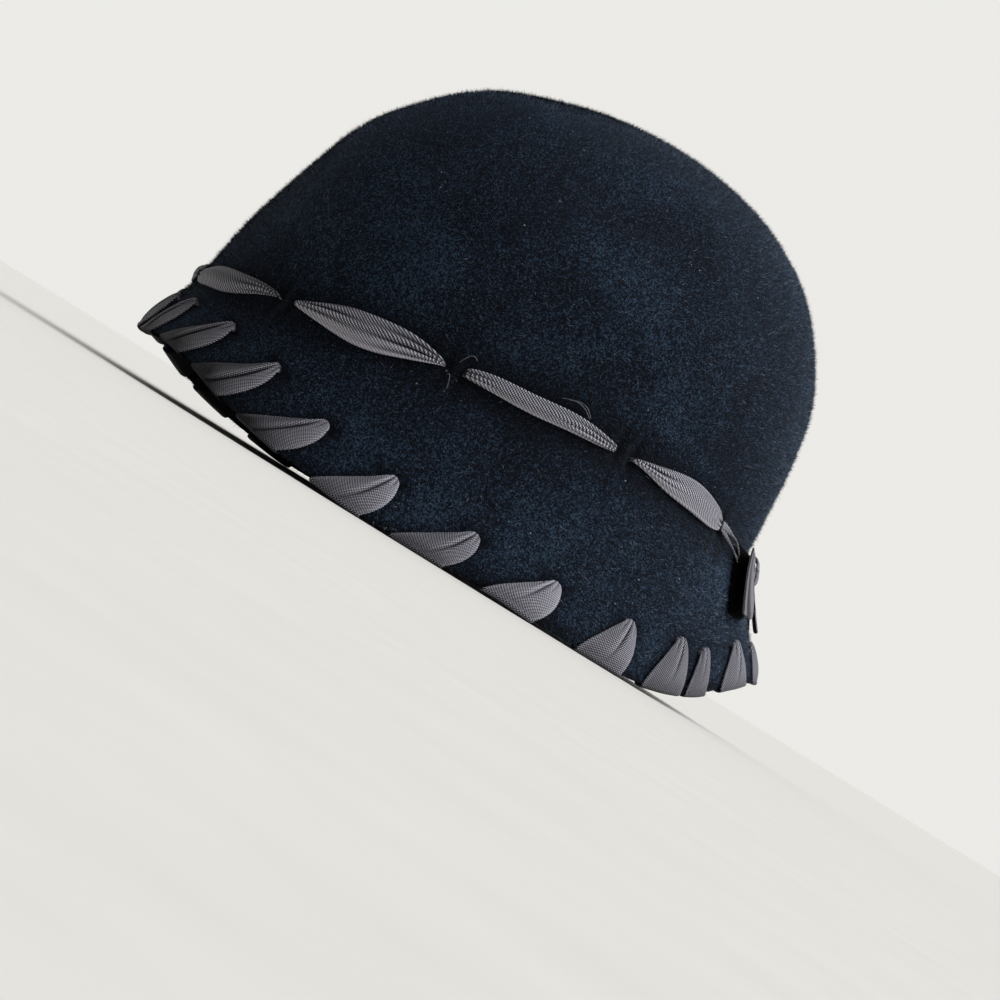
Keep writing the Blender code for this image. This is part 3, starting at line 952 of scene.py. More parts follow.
@dataclass(frozen=True)
class RibbedRibbon:
    """Rayon and cotton ribbon, woven with raised diagonal ribs.

    Rayon warp over a thick cotton weft gives fine ribs that catch the light as
    rows of small dashes, with a soft satin sheen along them. The ribs lie about
    30 degrees off the ribbon's length. They are drawn 0.7 mm apart, a little
    coarser than real, because finer ones would not show at the picture's size.
    """

    name: str = "grey_ribbed_ribbon"
    deep: str = "0d0c11"
    body: str = "484650"
    lit: str = "c6c4cc"
    # Colours of painted shade and of painted highlights, mixed in by the shade mark.
    shadow: str = "030305"
    lightness: str = "c4c2cb"
    bloom: str = "b9bac4"
    rib_mm: float = 0.70
    dash_mm: float = 0.62
    rib_angle_deg: float = 31.0
    bump_mm: float = 0.16
    wobble_mm: float = 0.22
    dash_share: float = 0.60
    grain_share: float = 0.5
    painted_highlight_strength: float = 0.9

    def build(self) -> bpy.types.Material:
        """Return the ribbon material, which reads lengths in mm from the UV map.

        Returns:
            The material.
        """
        material, tree, shader = new_material(self.name, {
            "Roughness": 0.52, "Specular IOR Level": 0.22, "Anisotropic": 0.35,
            "Sheen Weight": 0.06, "Sheen Tint": hex_linear(self.bloom)})
        uv = add_node(tree, "UVMap", uv_map="ribbon_mm").outputs["UV"]
        turned = add_node(tree, "Mapping", {
            "Vector": uv, "Rotation": (0.0, 0.0, math.radians(self.rib_angle_deg))})
        wobble = add_node(tree, "TexNoise", {"Vector": uv, "Scale": 0.35, "Detail": 2.0})
        shifted = add_node(tree, "VectorMath", {
            0: wobble.outputs["Color"], 1: (self.wobble_mm, self.wobble_mm, 0.0)},
            operation="MULTIPLY")
        bent = add_node(tree, "VectorMath", {
            0: turned.outputs["Vector"], 1: shifted.outputs["Vector"]},
            operation="ADD").outputs["Vector"]
        ribs = add_node(tree, "TexWave", {
            "Vector": bent, "Scale": WAVE_PERIOD / self.rib_mm}, bands_direction="Y")
        dashes = add_node(tree, "TexWave", {
            "Vector": bent, "Scale": WAVE_PERIOD / self.dash_mm,
            "Distortion": 1.2, "Detail": 1.0, "Detail Scale": 3.0}, bands_direction="X")
        grain = add_node(tree, "TexNoise", {
            "Vector": uv, "Scale": 2.2, "Detail": 2.0, "Roughness": 0.7})
        cloth = add_math(tree, "MULTIPLY_ADD", dashes.outputs["Fac"], self.dash_share,
                         ribs.outputs["Fac"])
        mixed = add_math(tree, "MULTIPLY_ADD", grain.outputs["Fac"], self.grain_share, cloth)
        level = add_node(tree, "MapRange", {"Value": mixed, "From Min": 0.45, "From Max": 1.60})
        colour = add_ramp(tree, level.outputs[0], [
            (0.0, self.deep), (0.5, self.body), (1.0, self.lit)])
        shade = add_node(tree, "Attribute", attribute_name="shade").outputs["Fac"]
        # Painted light: the shade mark darkens toward the shadow colour above 0 and lightens
        # toward the highlight colour below 0.
        for strength, tint in ((1.0, self.shadow), (-self.painted_highlight_strength, self.lightness)):
            colour = add_node(tree, "MixRGB", {
                "Fac": add_math(tree, "MULTIPLY", shade, strength, clamp=True),
                "Color1": colour, "Color2": hex_linear(tint)}).outputs["Color"]
        tree.links.new(colour, shader.inputs["Base Color"])
        bump = add_node(tree, "Bump", {
            "Height": cloth, "Strength": 0.85, "Distance": self.bump_mm / 1000.0})
        tree.links.new(bump.outputs["Normal"], shader.inputs["Normal"])
        return material


@dataclass(frozen=True)
class PaintedShadeRibbon:
    """Near-black matt ribbon finish: painted shade where the bow's loops lie folded in deep
    shade.
    """

    name: str = "painted_shade_ribbon"
    dark: str = "010102"
    light: str = "08080a"
    rib_mm: float = 0.70

    def build(self) -> bpy.types.Material:
        """Return the painted shade finish, near black with a trace of the ribs.

        Returns:
            The material.
        """
        material, tree, shader = new_material(self.name, {
            "Roughness": 0.9, "Specular IOR Level": 0.05})
        uv = add_node(tree, "UVMap", uv_map="ribbon_mm").outputs["UV"]
        ribs = add_node(tree, "TexWave", {"Vector": uv, "Scale": WAVE_PERIOD / self.rib_mm},
                        bands_direction="DIAGONAL")
        colour = add_ramp(tree, ribs.outputs["Fac"], [(0.0, self.dark), (1.0, self.light)])
        tree.links.new(colour, shader.inputs["Base Color"])
        return material


@dataclass(frozen=True)
class SpeckledFinish:
    """A finish of two close tones in fine noise, for plain things."""

    name: str
    dark: str
    light: str
    stops: tuple
    noise_scale: float
    noise_detail: float
    roughness: float
    specular: float

    def build(self) -> bpy.types.Material:
        """Return the finish as a material.

        Returns:
            The material.
        """
        material, tree, shader = new_material(self.name, {
            "Roughness": self.roughness, "Specular IOR Level": self.specular})
        noise = add_node(tree, "TexNoise", {
            "Vector": add_node(tree, "TexCoord").outputs["Object"],
            "Scale": self.noise_scale, "Detail": self.noise_detail})
        colour = add_ramp(tree, noise.outputs["Fac"], [
            (self.stops[0], self.dark), (self.stops[1], self.light)])
        tree.links.new(colour, shader.inputs["Base Color"])
        return material


@dataclass(frozen=True)
class LooseThread(SpeckledFinish):
    """A pulled rayon thread, thin and pale, whose twist shows as light and dark."""

    name: str = "pale_rayon_thread"
    dark: str = "3a3e45"
    light: str = "6d727a"
    stops: tuple = (0.3, 0.7)
    noise_scale: float = 900.0
    noise_detail: float = 1.0
    roughness: float = 0.5
    specular: float = 0.5


@dataclass(frozen=True)
class PaleFloor(SpeckledFinish):
    """Matt painted board, warm white, with a trace of roller texture."""

    name: str = "pale_painted_board"
    dark: str = "c9c6be"
    light: str = "cecbc4"
    stops: tuple = (0.2, 0.8)
    noise_scale: float = 60.0
    noise_detail: float = 3.0
    roughness: float = 0.85
    specular: float = 0.2


def make_piece(name: str, points: np.ndarray, faces: list, material: bpy.types.Material,
               smooth: bool = True) -> bpy.types.Object:
    """Make a mesh object and link it to the scene.

    Args:
        name: The piece's plain name.
        points: Vertices in metres, one row each.
        faces: Quads and triangles as lists of vertex numbers.
        material: The finish.
        smooth: Whether the faces are shaded smooth.

    Returns:
        The new object.
    """
    mesh = bpy.data.meshes.new(name)
    mesh.from_pydata(points.tolist(), [], faces)
    mesh.polygons.foreach_set("use_smooth", [smooth] * len(mesh.polygons))
    mesh.update()
    mesh.materials.append(material)
    piece = bpy.data.objects.new(name, mesh)
    bpy.context.scene.collection.objects.link(piece)
    return piece


def mark_points(piece: bpy.types.Object, name: str, values: np.ndarray) -> None:
    """Store one number on every point of a piece, for its material to read."""
    layer = piece.data.attributes.new(name, "FLOAT", "POINT")
    layer.data.foreach_set("value", values.astype(np.float32))


def grid_faces(rows: int, columns: int, start: int = 0, flip: bool = False) -> np.ndarray:
    """Return the quads of a grid of points whose rows close on themselves.

    Args:
        rows: Number of rows.
        columns: Points in a row.
        start: Number of the first point.
        flip: Whether the faces look the other way.

    Returns:
        Quads as rows of four vertex numbers.
    """
    i, j = np.meshgrid(np.arange(rows - 1), np.arange(columns), indexing="ij")
    a = start + i * columns + j
    b = start + i * columns + (j + 1) % columns
    quads = np.stack([a, b, b + columns, a + columns], -1).reshape(-1, 4)
    return quads[:, ::-1] if flip else quads


@dataclass
class FeltBody:
    """The one-piece felt: outer face, inner face and rolled-off brim edge.

    Wave rows hold a share of the height, a width and a height in mm, and a seed.
    Bands hold a middle and a spread, in metres or shares of a turn.
    """

    form: HatForm
    lacing: Lacing
    columns: int = 420
    brim_rows: int = 33
    crown_rows: int = 117
    inner_rows: int = 60
    slit_depth: float = 0.0015
    pucker: float = 0.0007
    wave: float = 0.0004
    wave_rows: tuple = ((0.45, 26.0, 22.0, 3), (0.35, 11.0, 13.0, 5))
    edge_round: float = 0.0007
    edge_round_shares: tuple = (1.0, 0.35, 0.08)
    cinch_depth: float = 0.0003
    cinch_spread: float = 0.006
    head_slit: Pucker = Pucker(0.0016, 0.0042, 0.0015, 0.008, 0.005, 0.5,
                               0.005, 0.0, 0.007, 0.45)
    brim_slit: Pucker = Pucker(0.0013, 0.0036, 0.0016, 0.007, 0.004, 0.35,
                               0.004, 0.003, 0.009, 0.6)
    head_reach: float = 0.03
    brim_limit: float = 0.04
    # Painted shade by the ribbons, partly nap flattened under them, and painted light at the
    # lower back.
    head_line_press_and_shade: float = 0.60
    edge_press_and_shade: float = 0.45
    fan_press_and_shade: float = 0.55
    head_line_band: tuple = (-0.001, 0.0075)
    edge_band: tuple = (0.0, 0.0035)
    fan_half: float = 0.60
    fan_taper: float = 0.25
    fan_margin: float = 0.003
    painted_light_turn_band: tuple = (0.07, 0.045)
    painted_light_height_band: tuple = (0.030, 0.016)
    back_painted_light: float = 0.34
    # Even painted shade on the inner face.
    inner_face_painted_shade: float = 0.25

    def apex_fade(self, level: np.ndarray) -> np.ndarray:
        """Return 1 over the hat, falling to 0 at the apex, where all turns meet."""
        return np.clip((self.form.apex_level - level) / 0.6, 0.0, 1.0)

    def relief(self, turn: np.ndarray, level: np.ndarray) -> np.ndarray:
        """Return how far the outer face moves out for puckers and soft waves.

        Args:
            turn: Share of a full turn.
            level: Rings up from the edge.

        Returns:
            Metres outward, negative inward.
        """
        form = self.form
        x, y, z = np.moveaxis(form.smooth(turn, level) * 1000.0, -1, 0)
        move = self.wave * sum(share * smooth_noise(x / wide, y / wide, z / high, seed)
                               for share, wide, high, seed in self.wave_rows)
        total = form.head_total
        along = form.length_at(form.head_level, turn)
        up = form.crown_height(turn, level)
        near = np.abs(up) < self.head_reach
        for row in self.lacing.stretches():
            for end in (row.start, row.end):
                gap = around(along, end, total)
                move = move + near * self.head_slit.move(gap, up, self.slit_depth, self.pucker)
        move = move - self.cinch_depth * bell(up, 0.0, self.cinch_spread)
        total = form.edge_total
        along = form.length_at(0.0, turn)
        height = form.brim_height(turn, level)
        low = height < self.brim_limit
        for stitch in self.lacing.stitches():
            gap = around(along, stitch.pinch, total)
            move = move + low * self.brim_slit.move(height - stitch.height, gap,
                                                    self.slit_depth, self.pucker)
        return move

    def nap_and_painted_light(self, turn: np.ndarray, level: np.ndarray) -> np.ndarray:
        """Return how flat the nap lies by the ribbon with painted shade, below 0 where light is
        painted.

        Args:
            turn: Share of a full turn.
            level: Rings up from the edge.

        Returns:
            An array shaped like turn.
        """
        form = self.form
        height = form.brim_height(turn, level)
        # Painted shade by the head line, the brim edge and each fan, partly nap flattened by the
        # ribbon.
        dark = np.maximum(
            self.head_line_press_and_shade * bell(form.crown_height(turn, level), *self.head_line_band),
            self.edge_press_and_shade * bell(height, *self.edge_band))
        total = form.edge_total
        along = form.length_at(0.0, turn)
        for stitch in self.lacing.stitches():
            share = np.clip(height / stitch.height, 0.0, 1.0)
            middle = stitch.base + (stitch.pinch - stitch.base) * share
            half = stitch.width * (self.fan_half - self.fan_taper * share)
            fan = bell(around(along, middle, total), 0.0, half, 4)
            fan = fan * bell(height, 0.0, stitch.height + self.fan_margin, 8)
            dark = np.maximum(dark, self.fan_press_and_shade * fan)
        # Painted light: the lower back is made lighter, where the window light falls.
        beside_back = np.abs(np.mod(turn, 1.0) - 0.5)
        bloom = bell(beside_back, *self.painted_light_turn_band) * bell(height, *self.painted_light_height_band)
        return dark - self.back_painted_light * bloom

    @staticmethod
    def skin(grid: np.ndarray, apex: np.ndarray, start: int,
             flip: bool) -> tuple[np.ndarray, list, list]:
        """Close one face of the felt with a fan of triangles at its top.

        Args:
            grid: Points, rows going up.
            apex: The one point at the top.
            start: Number of the first point.
            flip: Whether the face looks inward.

        Returns:
            All the points, the quads and the triangles.
        """
        rows, columns = grid.shape[:2]
        ring = start + (rows - 1) * columns + np.arange(columns)
        after = np.roll(ring, -1)
        top = np.full_like(ring, start + rows * columns)
        fan = np.stack([after, ring, top] if flip else [ring, after, top], -1)
        points = np.concatenate([grid.reshape(-1, 3), apex.reshape(1, 3)])
        return points, grid_faces(rows, columns, start, flip).tolist(), fan.tolist()

    def build(self, material: bpy.types.Material) -> bpy.types.Object:
        """Make the felt mesh.

        Args:
            material: The felt finish.

        Returns:
            The felt object, standing for its solid.
        """
        form = self.form
        low = np.linspace(0.0, 1.0, self.brim_rows + 1)[:-1] * form.head_level
        high = np.linspace(form.head_level, form.apex_level, self.crown_rows)[:-1]
        turns = np.arange(self.columns) / self.columns
        turn, level = np.meshgrid(turns, np.concatenate([low, high]))
        outer = form.point(turn, level, self.relief(turn, level) * self.apex_fade(level))
        normals = form.normal(turn, level)
        for k, share in enumerate(self.edge_round_shares):
            outer[k] -= normals[k] * self.edge_round * share
        points, quads, fan = self.skin(outer, form.point(0.0, form.apex_level, 0.0), 0, False)
        inner_levels = form.apex_level * np.linspace(0.0, 1.0, self.inner_rows + 1)[:-1]
        inner_turn, inner_level = np.meshgrid(turns, inner_levels)
        thick = np.full_like(inner_turn, form.felt_thickness)
        thick[0] -= self.edge_round
        start = len(points)
        inner_points, inner_quads, inner_fan = self.skin(
            form.point(inner_turn, inner_level, -thick),
            form.point(0.0, form.apex_level, -form.felt_thickness), start, True)
        ring = np.arange(self.columns)
        after = np.roll(ring, -1)
        rim = np.stack([ring, start + ring, start + after, after], -1).tolist()
        piece = make_piece("felt_shell", np.concatenate([points, inner_points]),
                           quads + inner_quads + rim + fan + inner_fan, material)
        # The outer face carries flattened nap, painted shade and painted light; the inner face an
        # even painted shade.
        mark_points(piece, "nap_and_painted_light", np.concatenate([
            self.nap_and_painted_light(turn, level).ravel(), [0.0],
            np.full(len(inner_points), self.inner_face_painted_shade)]))
        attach(piece, BODY)
        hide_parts("felt_body")
        return piece


@dataclass
class FeltNap:
    """Short fur fibres over the felt, as thin single-triangle blades.

    Real fibres are about 0.02 mm thick and far more in number. The blades are
    drawn wider and fewer, so that they still show at the picture's size.
    """

    body: FeltBody
    count: int = 170000
    length: float = 0.0016
    width: float = 0.00014
    spare: float = 2.2
    rooted: float = 0.0001
    swirl_scale: float = 40.0
    swirl_turn: float = 1.4
    swirl_spread: float = 0.7
    lift_range: tuple = (0.15, 0.75)
    length_range: tuple = (0.45, 1.25)
    tone_power: float = 3.2
    tone_top: float = 0.95
    undyed_share: float = 0.004

    def scatter(self, rng: np.random.Generator) -> tuple[np.ndarray, np.ndarray]:
        """Choose where fibres stand, evenly over the felt's area.

        Args:
            rng: The source of the random draws.

        Returns:
            Turns and levels of the roots.
        """
        form = self.body.form
        count = self.count
        tries = int(count * self.spare)
        turn = rng.random(tries)
        level = rng.random(tries) * form.apex_level
        here = form.smooth(turn, level)
        across = np.linalg.norm(form.smooth(turn + 2.0 * TURN_STEP, level) - here, axis=-1)
        above = form.smooth(turn, np.minimum(level + 2.5 * LEVEL_STEP, form.apex_level))
        area = across * np.linalg.norm(above - here, axis=-1)
        keep = rng.random(tries) < area / np.quantile(area, 0.98)
        return turn[keep][:count], level[keep][:count]

    def build(self, name: str, material: bpy.types.Material, scale: float,
              seed: int) -> bpy.types.Object:
        """Grow fibres over the outer face.

        Args:
            name: The piece's name.
            material: The fibre finish.
            scale: Length of these fibres against the usual.
            seed: Seed of the scatter.

        Returns:
            The fibre object.
        """
        form = self.body.form
        rng = np.random.default_rng(seed)
        turn, level = self.scatter(rng)
        count = len(turn)
        move = self.body.relief(turn, level) * self.body.apex_fade(level)
        root = form.point(turn, level, move - self.rooted)
        normal = form.normal(turn, level)
        ahead = unit(form.smooth(turn + TURN_STEP, level) - form.smooth(turn - TURN_STEP, level))
        down = np.cross(normal, ahead)
        swirl = smooth_noise(*(root * self.swirl_scale).T, 9) * self.swirl_turn
        angle = (swirl + rng.normal(0.0, self.swirl_spread, count))[:, None]
        lift = rng.uniform(*self.lift_range, count)[:, None]
        way = (ahead * np.cos(angle) + down * np.sin(angle)) * (1.0 - lift) + normal * lift
        way = unit(way)
        size = self.length * scale * rng.uniform(*self.length_range, count)[:, None]
        side = unit(np.cross(way, normal)) * self.width / 2.0
        points = np.stack([root - side, root + side, root + way * size], 1).reshape(-1, 3)
        faces = np.arange(count * 3).reshape(-1, 3).tolist()
        piece = make_piece(name, points, faces, material, False)
        tone = rng.random(count) ** self.tone_power * self.tone_top
        # The fibres share the felt's mark: darker where the nap lies flat and in painted shade,
        # lighter where light is painted.
        tone = np.minimum(tone * (1.0 - 0.8 * self.body.nap_and_painted_light(turn, level)), 0.97)
        tone[rng.random(count) < self.undyed_share] = 1.0
        mark_points(piece, "tone", np.repeat(tone, 3))
        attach(piece, BODY)
        return piece


@dataclass
class RibbonStrip:
    """Makes a closed ring of ribbon from a grid of points, with faces and edges."""

    thickness: float = 0.0006
    edge_share: float = 0.55

    def sheet(self, name: str, centre: np.ndarray, shade: np.ndarray,
              millimetres: np.ndarray, material: bpy.types.Material) -> bpy.types.Object:
        """Thicken a grid of points, whose last row joins its first, into a strip.

        Args:
            name: The piece's name.
            centre: Points, rows along the ribbon and columns across it.
            shade: How much painted shade each point has up to 1, or painted highlight below 0.
            millimetres: Length and width coordinates in millimetres.
            material: The ribbon finish.

        Returns:
            The ribbon object.
        """
        rows, columns = centre.shape[:2]
        along = np.roll(centre, -1, 0) - np.roll(centre, 1, 0)
        normal = unit(np.cross(along, np.gradient(centre, axis=1)))
        taper = np.ones(columns)
        taper[0] = taper[-1] = self.edge_share
        half = normal * (self.thickness / 2.0 * taper)[None, :, None]

        def both_faces(outer: np.ndarray, inner: np.ndarray) -> np.ndarray:
            """Join the outer face's columns to the inner face's, read backwards."""
            return np.concatenate([outer, inner[:, ::-1]], 1)

        wide = columns * 2
        i, j = np.meshgrid(np.arange(rows), np.arange(wide), indexing="ij")
        right = (j + 1) % wide
        after = (i + 1) % rows * wide
        here = i * wide
        quads = np.stack([here + j, after + j, after + right, here + right], -1)
        piece = make_piece(name, both_faces(centre + half, centre - half).reshape(-1, 3),
                           quads.reshape(-1, 4).tolist(), material)
        mark_points(piece, "shade", both_faces(shade, shade).ravel())
        flat = both_faces(millimetres, millimetres).reshape(-1, 2)
        corner = np.empty(len(piece.data.loops), dtype=np.int64)
        piece.data.loops.foreach_get("vertex_index", corner)
        layer = piece.data.uv_layers.new(name="ribbon_mm")
        layer.data.foreach_set("uv", flat[corner].astype(np.float32).ravel())
        return piece


@dataclass
class CrownRibbon:
    """The ribbon laced in and out round the crown base.

    Creases are rows of a place beside the main crease and a share of its depth.
    """

    form: HatForm
    lacing: Lacing
    strip: RibbonStrip
    across: int = 41
    along: int = 90
    pinch: float = 0.0005
    puff: float = 0.0021
    pleat: float = 0.0013
    creases: tuple = ((0.0, 1.0), (-0.55, 0.55), (0.60, 0.6))
    crease: Crease = Crease(0.10, 0.14, 0.28, 0.13, 0.45, 1.5, 0.55)
    end_ease: float = 0.045
    leaf_power: float = 0.95
    blunt_power: float = 0.55
    puff_power: float = 0.6
    edge_lower: float = 0.30
    least_offset: float = 0.6
    side_shade: float = 0.20
    roll_place: tuple = (0.90, 0.09)
    roll_light: float = 0.50
    lower_place: tuple = (-0.62, 0.34)
    lower_light: float = 0.38
    roll_height: float = 0.0003
    sway: float = 0.0004
    dive_share: float = 0.012
    dive_depth: float = 0.0022
    inside_step: float = 0.004
    inside_mm: float = 11.0
    inside_shade: float = 0.5

    def stretch_grid(self, row: Stretch) -> tuple[np.ndarray, np.ndarray, np.ndarray]:
        """Return points, shades and millimetres of one outside length.

        Args:
            row: The length of ribbon.

        Returns:
            Grids of points, shade marks and length coordinates.
        """
        look, held = row.look, self.lacing.offset
        rng = np.random.default_rng(100 + row.seed)
        t = np.linspace(0.0, 1.0, self.along)[:, None]
        u = t - self.end_ease * np.sin(2.0 * np.pi * t)
        v = np.linspace(-1.0, 1.0, self.across)[None, :]
        mix = 0.5 - 0.5 * np.cos(np.pi * u)
        blunt = look.blunt_in * (1.0 - mix) + look.blunt_out * mix
        leaf = arch(look.leaf_share(u), self.leaf_power - self.blunt_power * blunt)
        width = self.pinch + (row.width * look.girth - self.pinch) * leaf
        puffed = arch(u, self.puff_power)
        offset = held * (1.0 - self.edge_lower * v * v) + self.puff * (1.0 - v * v) * puffed
        # Painted shade: each length's own level, darker toward the upper edge, and dark in the
        # creases below.
        shade = look.shade + self.side_shade * v
        for skew, reach, far in ((look.skew_in, look.reach_in, u),
                                 (look.skew_out, look.reach_out, 1.0 - u)):
            for beside, size in self.creases:
                depth, dark = self.crease.fold(v, skew + beside, far, reach, size)
                offset = offset - self.pleat * depth * puffed
                shade = shade + dark
        # Painted highlights on the rolled edges and on the lower part of the puff.
        roll = bell(np.abs(v), *self.roll_place)
        shade = shade - self.roll_light * roll * look.roll
        shade = shade - self.lower_light * bell(v, *self.lower_place) * puffed
        offset = np.maximum(offset + self.roll_height * roll * puffed, held * self.least_offset)
        dive = bell(np.minimum(u, 1.0 - u), 0.0, self.dive_share)
        offset = offset * (1.0 - dive) - self.dive_depth * dive
        length = row.start + (row.end - row.start) * u
        lift = v * width / 2.0
        lift = lift + self.sway * np.sin(2.0 * np.pi * (u * 1.5 + rng.random())) * puffed
        points = self.form.by_head(length, lift, offset)
        return points, shade, chart(length * 1000.0, v * width * 500.0)

    def hidden_grid(self, begin: float, end: float) -> tuple[np.ndarray, np.ndarray, np.ndarray]:
        """Return points, shades and millimetres of one plain run inside the felt.

        Args:
            begin: Where it starts along the head line, in metres.
            end: Where it ends.

        Returns:
            Grids of points, shade marks and length coordinates.
        """
        steps = max(int((end - begin) / self.inside_step), 4)
        length = np.linspace(begin, end, steps)[:, None]
        v = np.linspace(-1.0, 1.0, self.across)[None, :]
        points = self.form.by_head(length, v * self.lacing.pinch_width / 2.0, self.lacing.inside)
        marks = np.full(points.shape[:2], self.inside_shade)
        return points, marks, chart(length * 1000.0, v * self.inside_mm)

    def build(self, material: bpy.types.Material) -> bpy.types.Object:
        """Make the whole laced ribbon as one closed ring.

        Args:
            material: The ribbon finish.

        Returns:
            The ribbon object, standing for its solid.
        """
        rows = self.lacing.stretches()
        total = self.form.head_total
        parts = []
        for row, after in zip(rows, rows[1:] + rows[:1]):
            parts.append(self.stretch_grid(row))
            parts.append(self.hidden_grid(row.end, after.start + total * (after is rows[0])))
        points, marks, millimetres = (np.concatenate(part) for part in zip(*parts))
        piece = self.strip.sheet("laced_crown_ribbon", points, marks, millimetres, material)
        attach(piece, BODY)
        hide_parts("crown_ribbon")
        return piece


@dataclass
class BrimRibbon:
    """The ribbon whipped over the brim edge, one fan after another."""

    form: HatForm
    lacing: Lacing
    strip: RibbonStrip
    across: int = 31
    outside_rows: int = 40
    edge_rows: int = 7
    inside_rows: int = 8
    puff: float = 0.0012
    pleat: float = 0.0010
    pleat_start: float = 0.125
    crease: Crease = Crease(0.06, 0.09, 0.22, 0.13, 0.4, 1.25, 0.45)
    crease_bend: float = 0.35
    main_place: tuple = (-0.25, 0.35)
    main_reach: tuple = (0.42, 0.62)
    top_share: float = 0.42
    top_light: float = 0.18
    edge_place: tuple = (0.92, 0.08)
    edge_light: float = 0.22
    low_start: float = 0.65
    low_shade: float = 0.30
    edge_lower: float = 0.25
    puff_narrow: float = 0.95
    least_offset: float = 0.65
    dive_share: float = 0.02
    dive_depth: float = 0.0020
    rounding: float = 0.0020
    flat_mm: float = 9.0
    edge_shade: float = 0.45
    inside_shade: float = 0.9

    def fan(self, stitch: Stitch, pinch: float) -> tuple:
        """Return the outside of one wrap, from its slit down to the edge.

        Args:
            stitch: This wrap.
            pinch: Its width at the slit, in metres.

        Returns:
            Grids of length along the edge, height, offset and shade.
        """
        rng = np.random.default_rng(300 + stitch.seed)
        held = self.lacing.offset
        v = np.linspace(-1.0, 1.0, self.across)[None, :]
        share = (np.linspace(0.0, 1.0, self.outside_rows) ** 1.25)[:, None]
        width = pinch + (stitch.width - pinch) * np.sin(share * np.pi / 2.0) ** 0.85
        middle = stitch.pinch + (stitch.base - stitch.pinch) * share**1.15
        near = bell(share, 0.0, self.top_share)
        bulge = self.puff * arch(np.clip(share * 1.1, 0.0, 1.0), 0.7)
        offset = held * (1.0 - self.edge_lower * v * v) + bulge * (1.0 - self.puff_narrow * v * v)
        # Painted shade of each wrap, lighter toward one side by its slope, and dark in the
        # creases below.
        shade = stitch.shade - stitch.tilt * v
        main = rng.uniform(*self.main_place)
        # Front wraps, with a steeper shade slope, get a longer main crease.
        deep = rng.uniform(*self.main_reach) + 0.9 * stitch.tilt
        for place, reach, size in ((main, deep, 1.0),
                                   (main - rng.uniform(0.45, 0.6), 0.28, 0.55),
                                   (main + rng.uniform(0.4, 0.55), 0.24, 0.5)):
            depth, dark = self.crease.fold(v, place * (1.0 - self.crease_bend * share), share,
                                           reach, size)
            offset = offset - self.pleat * depth * np.clip(share / self.pleat_start, 0, 1)
            shade = shade + dark
        # Painted highlights on the edges and near the slit, painted shade toward the brim edge.
        low = np.clip((share - self.low_start) / (1.0 - self.low_start), 0.0, 1.0) ** 1.3
        shade = shade - self.edge_light * bell(np.abs(v), *self.edge_place)
        shade = shade - self.top_light * near + (self.low_shade + 0.6 * stitch.tilt) * low
        dive = bell(share, 0.0, self.dive_share)
        offset = np.maximum(offset, held * self.least_offset)
        offset = offset * (1.0 - dive) - self.dive_depth * dive
        rounded = np.sqrt(np.clip(1.0 - v * v, 0.0, 1.0)) * self.rounding * near
        return middle + v * width / 2.0, stitch.height * (1.0 - share) + rounded, offset, shade

    def path(self, stitch: Stitch, before: float,
             rise: float) -> tuple[np.ndarray, np.ndarray, np.ndarray]:
        """Return points, creases and millimetres of one whole wrap.

        Args:
            stitch: This wrap.
            before: Where the next slit lies along the edge, in metres.
            rise: How high that slit is.

        Returns:
            Grids of points, crease marks and length coordinates.
        """
        form, out, inside = self.form, self.lacing.offset, self.lacing.inside
        v = np.linspace(-1.0, 1.0, self.across)[None, :]
        # Front wraps, with a steeper shade slope, get a narrower pinch.
        pinch = self.lacing.pinch_width * (0.75 - 1.1 * stitch.tilt)
        bend = np.linspace(0.0, np.pi, self.edge_rows + 2)[1:-1][:, None]
        climb = np.linspace(0.0, 1.0, self.inside_rows)[:, None]
        inner_width = stitch.width + (pinch - stitch.width) * climb
        inner_middle = stitch.base + (before - stitch.base) * climb
        # Painted shade: darker where the ribbon turns under the edge, darkest inside the brim.
        sections = [
            self.fan(stitch, pinch),
            (stitch.base + v * stitch.width / 2.0, -out * np.sin(bend),
             (out + inside) / 2.0 + (out - inside) / 2.0 * np.cos(bend),
             stitch.shade + self.edge_shade),
            (inner_middle + v * inner_width / 2.0, rise * climb, inside, self.inside_shade),
        ]
        length, heights, offsets, marks = (
            np.concatenate(part) for part in zip(*(np.broadcast_arrays(*s) for s in sections)))
        turn = form.turn_at(0.0, length)
        points = form.point(turn, form.brim_level(turn, heights), offsets)
        steps = np.linalg.norm(np.diff(points[:, self.across // 2], axis=0), axis=-1)
        run = np.concatenate([[0.0], np.cumsum(steps)])[:, None] * 1000.0
        return points, marks, chart(run, v * self.flat_mm)

    def build(self, material: bpy.types.Material) -> bpy.types.Object:
        """Make the whole whipped ribbon as one closed spiral.

        Args:
            material: The ribbon finish.

        Returns:
            The ribbon object, standing for its solid.
        """
        stitches = self.lacing.stitches()
        total = self.form.edge_total
        parts = []
        for k in range(len(stitches) - 1, -1, -1):
            lower = stitches[k - 1]
            before = lower.pinch - (total if k == 0 else 0.0)
            parts.append(self.path(stitches[k], before, lower.height))
        points, marks, millimetres = (np.concatenate(part) for part in zip(*parts))
        piece = self.strip.sheet("whipped_brim_ribbon", points, marks, millimetres, material)
        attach(piece, BODY)
        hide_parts("brim_ribbon")
        return piece


